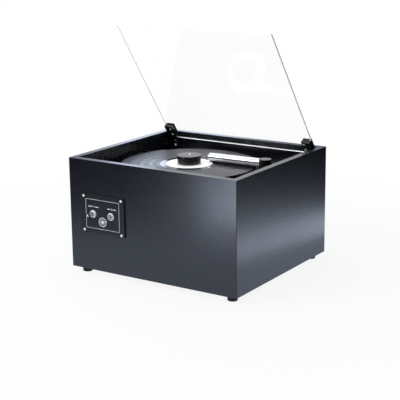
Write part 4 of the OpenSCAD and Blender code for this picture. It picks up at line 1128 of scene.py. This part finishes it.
@dataclass
class ControlPlate:
    """Front plate with its two toggle switches.

    Attributes:
        centre: Middle of the plate, sideways and up.
        face: Front to back place of its front face.
        screws: Distances of the screws from its middle.
        frame_low: Lower left corner of the printed frame.
        frame_high: Upper right corner of the printed frame.
        line: Width of the printed lines.
        words_z: Height of the numerals' middle.
        type_size: Type size of the numerals, twice the room that one has on each side.
        bar_h: Height of the bars beside them.
        numbers: Each numeral, its sideways place and the reach of its bars.
        emblem: Middle of the plain rings, sideways and up.
        rings: Outer and inner radius of each ring, with 0 inside for a disc.
    """

    centre: tuple[float, float] = (-117.5, 136.5)
    face: float = -188.2
    screws: tuple[float, float] = (48.35, 36.4)
    frame_low: tuple[float, float] = (-161.0, 105.7)
    frame_high: tuple[float, float] = (-74.4, 167.8)
    line: float = 0.6
    words_z: float = 152.0
    type_size: float = 6.8
    bar_h: float = 1.4
    numbers: tuple[tuple[str, float, float], ...] = (("1", -141.05, 13.5), ("2", -93.35, 11.0))
    emblem: tuple[float, float] = (-118.1, 121.5)
    rings: tuple[tuple[float, float], ...] = ((9.8, 8.6), (6.0, 5.3), (3.2, 0.0))

    def printed(self, parts: list[BMesh]) -> BMesh:
        """Lays flat shapes, drawn in X and Y, on the plate's face as a thin print.

        Args:
            parts: The flat shapes.

        Returns:
            One mesh of the print.
        """
        flat = joined(parts)
        bmesh.ops.recalc_face_normals(flat, faces=flat.faces)
        grown = bmesh.ops.extrude_face_region(flat, geom=flat.faces[:])
        tops = [v for v in grown["geom"] if isinstance(v, BMVert)]
        bmesh.ops.translate(flat, vec=(0, 0, 0.07), verts=tops)
        bmesh.ops.recalc_face_normals(flat, faces=flat.faces)
        upright = Matrix.Translation((0, self.face + 0.01, 0)) @ Facing.FRONT.value
        bmesh.ops.transform(flat, matrix=upright, verts=flat.verts)
        return flat

    @staticmethod
    def patch(centre: Sequence[float], size: Sequence[float]) -> BMesh:
        """A flat oblong.

        Args:
            centre: Its middle, sideways and up.
            size: Its width and height.

        Returns:
            The flat shape.
        """
        bm = bmesh.new()
        bmesh.ops.create_grid(bm, x_segments=1, y_segments=1, size=0.5,
                              matrix=Matrix.Translation((*centre, 0))
                              @ Matrix.Diagonal((*size, 1.0, 1.0)))
        return bm

    @staticmethod
    def hollow(bm: BMesh, width: float) -> None:
        """Leaves only a band along the edge of a flat shape.

        Args:
            bm: The flat shape.
            width: Width of the band.
        """
        inner = bm.faces[:]
        bmesh.ops.inset_region(bm, faces=inner, thickness=width, use_boundary=True,
                               use_even_offset=True)
        bmesh.ops.delete(bm, geom=inner, context="FACES")

    def outline(self) -> BMesh:
        """The frame's line, with rounded corners.

        Returns:
            A flat ring.
        """
        low, high = Vector(self.frame_low), Vector(self.frame_high)
        bm = self.patch((low + high) / 2, high - low)
        bmesh.ops.bevel(bm, geom=bm.verts[:], offset=2.0, offset_type="OFFSET", segments=6,
                        profile=0.5, affect="VERTICES", material=-1)
        self.hollow(bm, self.line)
        return bm

    def ring(self, outer: float, inner: float) -> BMesh:
        """A flat ring or disc round the emblem's middle.

        Args:
            outer: Its outer radius.
            inner: Its inner radius, or 0 for a disc.

        Returns:
            The flat shape.
        """
        bm = bmesh.new()
        bmesh.ops.create_circle(bm, cap_ends=True, segments=64, radius=outer,
                                matrix=Matrix.Translation((*self.emblem, 0)))
        if inner:
            self.hollow(bm, outer - inner)
        return bm

    def numeral(self, digit: str, x: float) -> BMesh:
        """A plain numeral.

        Args:
            digit: The numeral.
            x: Its sideways place.

        Returns:
            The flat shape.
        """
        words = bpy.data.curves.new("numeral", "FONT")
        words.body, words.size = digit, self.type_size
        words.align_x = words.align_y = "CENTER"
        item = placed("numeral", words)
        bm = final_mesh(item)
        bpy.data.objects.remove(item)
        bmesh.ops.translate(bm, vec=(x, self.words_z, 0), verts=bm.verts)
        return bm

    def marks(self) -> BMesh:
        """The frame, a number over each switch and the plain rings.

        Returns:
            One mesh of the print.
        """
        parts = [self.outline()]
        room = self.type_size / 2
        for digit, x, reach in self.numbers:
            parts.append(self.numeral(digit, x))
            parts += [self.patch((x + side * (reach + room) / 2, self.words_z),
                                 (reach - room, self.bar_h)) for side in (-1, 1)]
        parts += [self.ring(*radii) for radii in self.rings]
        return self.printed(parts)

    def build(self) -> None:
        """Makes the plate, its print, its screws and its switches."""
        rounded_node("control_plate", PLATE, "cabinet", 0.5)
        add_piece("plate_print", self.marks(), PRINT, "cabinet")
        spots = [(self.centre[0] + sx * self.screws[0], self.face,
                  self.centre[1] + sz * self.screws[1]) for sx in (-1, 1) for sz in (-1, 1)]
        PanScrew(5.5, 1.5, 3.0, 14.2).fit("control_plate_screws", PAINTED_GLINT_PLATE, "cabinet",
                                          spots, Facing.FRONT)
        rounded_node("switch_nuts", PAINTED_GLINT_PLATE, "cabinet", 0.35)
        roles = ("turntable", "vacuum")
        for role in roles:
            rounded_node(role + "_switch", NICKEL, "cabinet", 0.25)
        for role in roles:
            rounded_node(role + "_lever", CHROME, role + "_toggle", 0.5, 3)


@dataclass
class Lid:
    """Clear lid that stands open on two hinges.

    Attributes:
        axis: Front to back place and height of the hinge axis.
        opened: Angle by which it stands open, in degrees.
        clip_x: Sideways place of a hinge's middle.
        clip_in: How far inside that the clip's screws are.
        clip_holes: Their distances behind the axis, lid closed.
        clip_face: Height of a clip's lower face over the axis, lid closed.
        base_face: Front to back place of a hinge base's front face.
        base_holes: Heights of the screws in a hinge base.
    """

    axis: tuple[float, float] = (159.6, 238.4)
    opened: float = 54.5
    clip_x: float = 177.95
    clip_in: float = 4.5
    clip_holes: tuple[float, float] = (-25.0, -9.0)
    clip_face: float = -3.5
    base_face: float = 168.0
    base_holes: tuple[float, float] = (227.5, 215.5)

    def swung(self) -> Matrix:
        """The turn from the closed lid's own frame to the open lid."""
        return (Matrix.Translation((0, *self.axis))
                @ Matrix.Rotation(math.radians(-self.opened), 4, "X"))

    def sheet(self) -> None:
        """Makes the sheet, polished on its faces and sawn on its edges."""
        bm = cad_copy("lid_sheet")
        normal = self.swung().to_3x3() @ Vector((0, 0, 1))
        round_edges(bm, 0.3, 2)
        bm.normal_update()
        for face in bm.faces:
            face.material_index = 0 if abs(face.normal.dot(normal)) > 0.9 else 1
        add_piece("lid_sheet_polished", bm, (ACRYLIC, SHEET_EDGE), "lid", ["lid_sheet"])

    def build(self) -> None:
        """Makes the lid and both hinges."""
        self.sheet()
        for side in ("left", "right"):
            rounded_node("lid_clip_" + side, HINGE, "lid", 0.4)
            rounded_node("hinge_base_" + side, HINGE, "cabinet", 0.35)
        clips = [(s * (self.clip_x - self.clip_in), y, self.clip_face)
                 for s in (-1, 1) for y in self.clip_holes]
        PanScrew(5.0, 1.0, 3.0, 6.9).fit("lid_clip_screws", PAINTED_GLINT_PLATE, "lid",
                                         clips, Facing.DOWN, self.swung())
        plates = [(s * self.clip_x, self.base_face, z) for s in (-1, 1) for z in self.base_holes]
        PanScrew(6.5, 1.6, 3.5, 12.0).fit("hinge_screws", PAINTED_GLINT_PLATE, "cabinet",
                                          plates, Facing.FRONT)
        rounded_node("hinge_pins", ZINC, "cabinet", 0.3)


@dataclass
class Turntable:
    """Platter, mat, record and clamp.

    Attributes:
        play: Height of the record's playing face.
        record_r: Radius of the record.
        record_t: Its thickness.
        bead: Rise of its rim and its middle.
        lead_in: Distance from its rim to the first groove.
        hole_r: Radius of its hole and the clamp's.
        label_r: Radius of its labels.
        label_t: Their thickness.
        wax_r: Radius where the grooves end.
        gaps: Radii of the gaps between the tracks.
        half_gap: Half the width of such a gap.
        clamp_r: Radius of the clamp.
        grips: Heights of its grip grooves.
    """

    play: float = 221.0
    record_r: float = 150.8
    record_t: float = 2.0
    bead: float = 0.3
    lead_in: float = 4.2
    hole_r: float = 3.63
    label_r: float = 50.0
    label_t: float = 0.15
    wax_r: float = 63.0
    gaps: tuple[float, ...] = (80.5, 97.0, 113.0, 130.5)
    half_gap: float = 0.4
    clamp_r: float = 26.5
    grips: tuple[float, float] = (11.9, 15.5)

    def record(self) -> None:
        """Makes the record, its grooved bands apart from its smooth ones."""
        r, bead, half, seat = self.record_r, self.bead, self.half_gap, self.bead - self.label_t
        start, tracks = r - self.lead_in, self.gaps[::-1]
        upper = [(r - 1.15, bead), (r - 2.3, 0.0), (start, 0.0)]
        for gap in tracks:
            upper += [(gap + half, 0.0), (gap - half, 0.0)]
        upper += [(self.wax_r, 0.0), (53.0, 0.0), (52.0, bead), (self.label_r, bead),
                  (self.label_r, seat), (self.hole_r, seat)]
        lower = [(radius, -self.record_t - z) for radius, z in reversed(upper)]
        bm = turned([(r, -self.record_t / 2)] + upper + lower, 200, (*SPINDLE[:2], self.play))
        flats = [start, *(gap - half for gap in tracks)]
        stops = [*(gap + half for gap in tracks), self.wax_r]
        for face in bm.faces:
            spot = face.calc_center_median() - Vector(SPINDLE)
            reach = math.hypot(spot.x, spot.y)
            grooved = any(b < reach < a for a, b in zip(flats, stops))
            face.material_index = 0 if grooved else 1
        add_piece("record_pressed", bm, (GROOVES, WAX), "turntable", ["record"])

    def labels(self) -> None:
        """Makes the two paper labels, each with its pressed ring."""
        thick = self.label_t
        ring = [(self.label_r, 0.0), (self.label_r, thick), (36.4, thick), (35.8, 0.1),
                (35.2, thick), (3.7, thick), (3.7, 0.0)]
        top = turned(ring, 128, (*SPINDLE[:2], self.play + thick))
        under = turned([(a, -z) for a, z in ring], 128,
                       (*SPINDLE[:2], self.play - self.record_t - thick))
        add_piece("record_labels_paper", joined([top, under]), PAPER, "turntable",
                  ["record_labels"])

    def clamp(self) -> None:
        """Makes the clamp with its crowned top and two grip grooves."""
        r, hole = self.clamp_r, self.hole_r
        outline = [(hole, 1.2), (24.0, 1.2), (25.0, 2.2), (25.0, 7.0), (24.0, 8.0), (24.0, 8.8),
                   (r, 10.2)]
        for grip in self.grips:
            outline += [(r, grip - 0.3), (r - 0.4, grip), (r, grip + 0.3)]
        outline += [(r, 17.4), (26.3, 17.9), (25.9, 18.15)]
        outline += [(a, 18.2 + 0.7 * (25.5 - a) / 21.9) for a in (25.4, 18.0, 11.0, 5.0, hole)]
        bm = turned(outline, 128, (*SPINDLE[:2], self.play + self.bead))
        round_edges(bm, 0.15, 2)
        add_piece("record_clamp_turned", bm, CLAMP, "clamp", ["record_clamp"])

    def build(self) -> None:
        """Makes the turntable's pieces."""
        self.record()
        self.labels()
        self.clamp()
        rounded_node("clamp_seal", RUBBER, "clamp", 0.3)
        rounded_node("platter", PLATTER, "turntable", 0.4)
        rounded_node("platter_mat", RUBBER, "turntable", 0.3)
        rounded_node("platter_shaft", CHROME, "turntable", 0.3)


@dataclass
class SuctionArm:
    """Tube with velvet lips that swings over the record.

    Attributes:
        seam: Lower and upper height of a painted dark reflection band along the tube's sides.
    """

    seam: tuple[float, float] = (231.0, 232.6)

    def tube(self) -> None:
        """Makes the tube, with a painted dark reflection band along its sides."""
        bm = cad_copy("arm_tube")
        for level in self.seam:
            bmesh.ops.bisect_plane(bm, geom=bm.verts[:] + bm.edges[:] + bm.faces[:],
                                   plane_co=(0, 0, level), plane_no=(0, 0, 1))
        round_edges(bm, 0.25)
        # Painted reflection: a thin band along the tube's sides takes the post's black finish,
        # standing in for a dark line mirrored in the tube.
        for face in bm.faces:
            heights = [v.co.z for v in face.verts]
            if self.seam[0] - NEAR < min(heights) and max(heights) < self.seam[1] + NEAR:
                face.material_index = 1
        add_piece("arm_tube_finished", bm, (ARM_METAL, POST_BLACK), "suction_arm", ["arm_tube"])

    def build(self) -> None:
        """Makes the arm, its post and its bearings."""
        self.tube()
        rounded_node("velvet_strips", VELVET, "suction_arm", 0.6, 3)
        rounded_node("arm_post", POST_BLACK, "suction_arm", 0.3)
        rounded_node("swivel_sleeve", BRONZE, "arm_swivel", 0.3)
        rounded_node("arm_bush", PLASTIC, "cabinet", 0.3)


@dataclass
class Rear:
    """Grille, power inlet and drain tap on the back.

    Attributes:
        inlet: Sideways place and height of the power inlet.
        pins: Sideways places of its pins from its middle.
        pin_near: How close to a pin's middle its faces are, sideways and up.
        pin_span: Front to back reach of the pins.
        face: Front to back place of the fittings' faces.
        grille: Sideways place and height of the grille.
    """

    inlet: tuple[float, float] = (-40.0, 54.0)
    pins: tuple[float, ...] = (-7.0, 0.0, 7.0)
    pin_near: tuple[float, float] = (1.1, 4.6)
    pin_span: tuple[float, float] = (171.05, 182.5)
    face: float = 187.0
    grille: tuple[float, float] = (-125.0, 118.0)

    def power_inlet(self) -> None:
        """Makes the inlet, its three pins in bare metal."""
        bm = cad_copy("power_inlet")
        round_edges(bm, 0.3)
        for face in bm.faces:
            spot = face.calc_center_median()
            across, up = spot.x - self.inlet[0], spot.z - self.inlet[1]
            near = min(abs(across - x) for x in self.pins) < self.pin_near[0]
            within = self.pin_span[0] < spot.y < self.pin_span[1]
            if near and within and abs(up) < self.pin_near[1]:
                face.material_index = 1
        add_piece("power_inlet_finished", bm, (PLASTIC, NICKEL), "cabinet", ["power_inlet"])

    def build(self) -> None:
        """Makes the fittings on the back."""
        rounded_node("exhaust_grille", PLASTIC, "cabinet", 0.35)
        self.power_inlet()
        spots = [(self.grille[0] + x, self.face, self.grille[1] + z)
                 for x in (-25, 25) for z in (-25, 25)]
        spots += [(self.inlet[0] + x, self.face, self.inlet[1]) for x in (-20, 20)]
        PanScrew(5.5, 1.5, 3.0, 10.0).fit("rear_screws", ZINC, "cabinet", spots,
                                          Facing.BACK)
        rounded_node("drain_tap", TAP_GREY, "cabinet", 0.4)
        rounded_node("drain_handle", TAP_RED, "drain_lever", 0.6, 3)


@dataclass
class Works:
    """What the closed cabinet holds, whose CAD shapes stay and get their finishes."""

    def build(self) -> None:
        """Finishes the inner nodes."""
        inside = {
            CAST: ("bearing_housing", "shaft_coupling", "motor_bracket"),
            BRONZE: ("bearing_bushes",),
            ZINC: ("motor_output_shaft", "blower_shaft"),
            MOTOR: ("turntable_motor", "blower_motor"),
            PLASTIC: ("arm_bush_nut", "tank_lid", "fan_housing"),
            HOSE: ("inlet_hose", "suction_hose", "blower_ring"),
            MILKY: ("waste_tank",),
            ALLOY: ("impeller",),
            CREAM: ("terminal_block",),
            RUBBER: ("wiring",),
        }
        for finish, nodes in inside.items():
            for node in nodes:
                paint_node(node, finish)


def main() -> None:
    """Builds the studio and the machine, and reports each piece."""
    logging.basicConfig(level=logging.INFO, format="%(name)s: %(message)s")
    for part in (Studio(), Cabinet(), Deck(), ControlPlate(), Lid(), Turntable(), SuctionArm(),
                 Rear(), Works()):
        log.info("building %s", type(part).__name__)
        part.build()


if __name__ == "__main__":
    main()
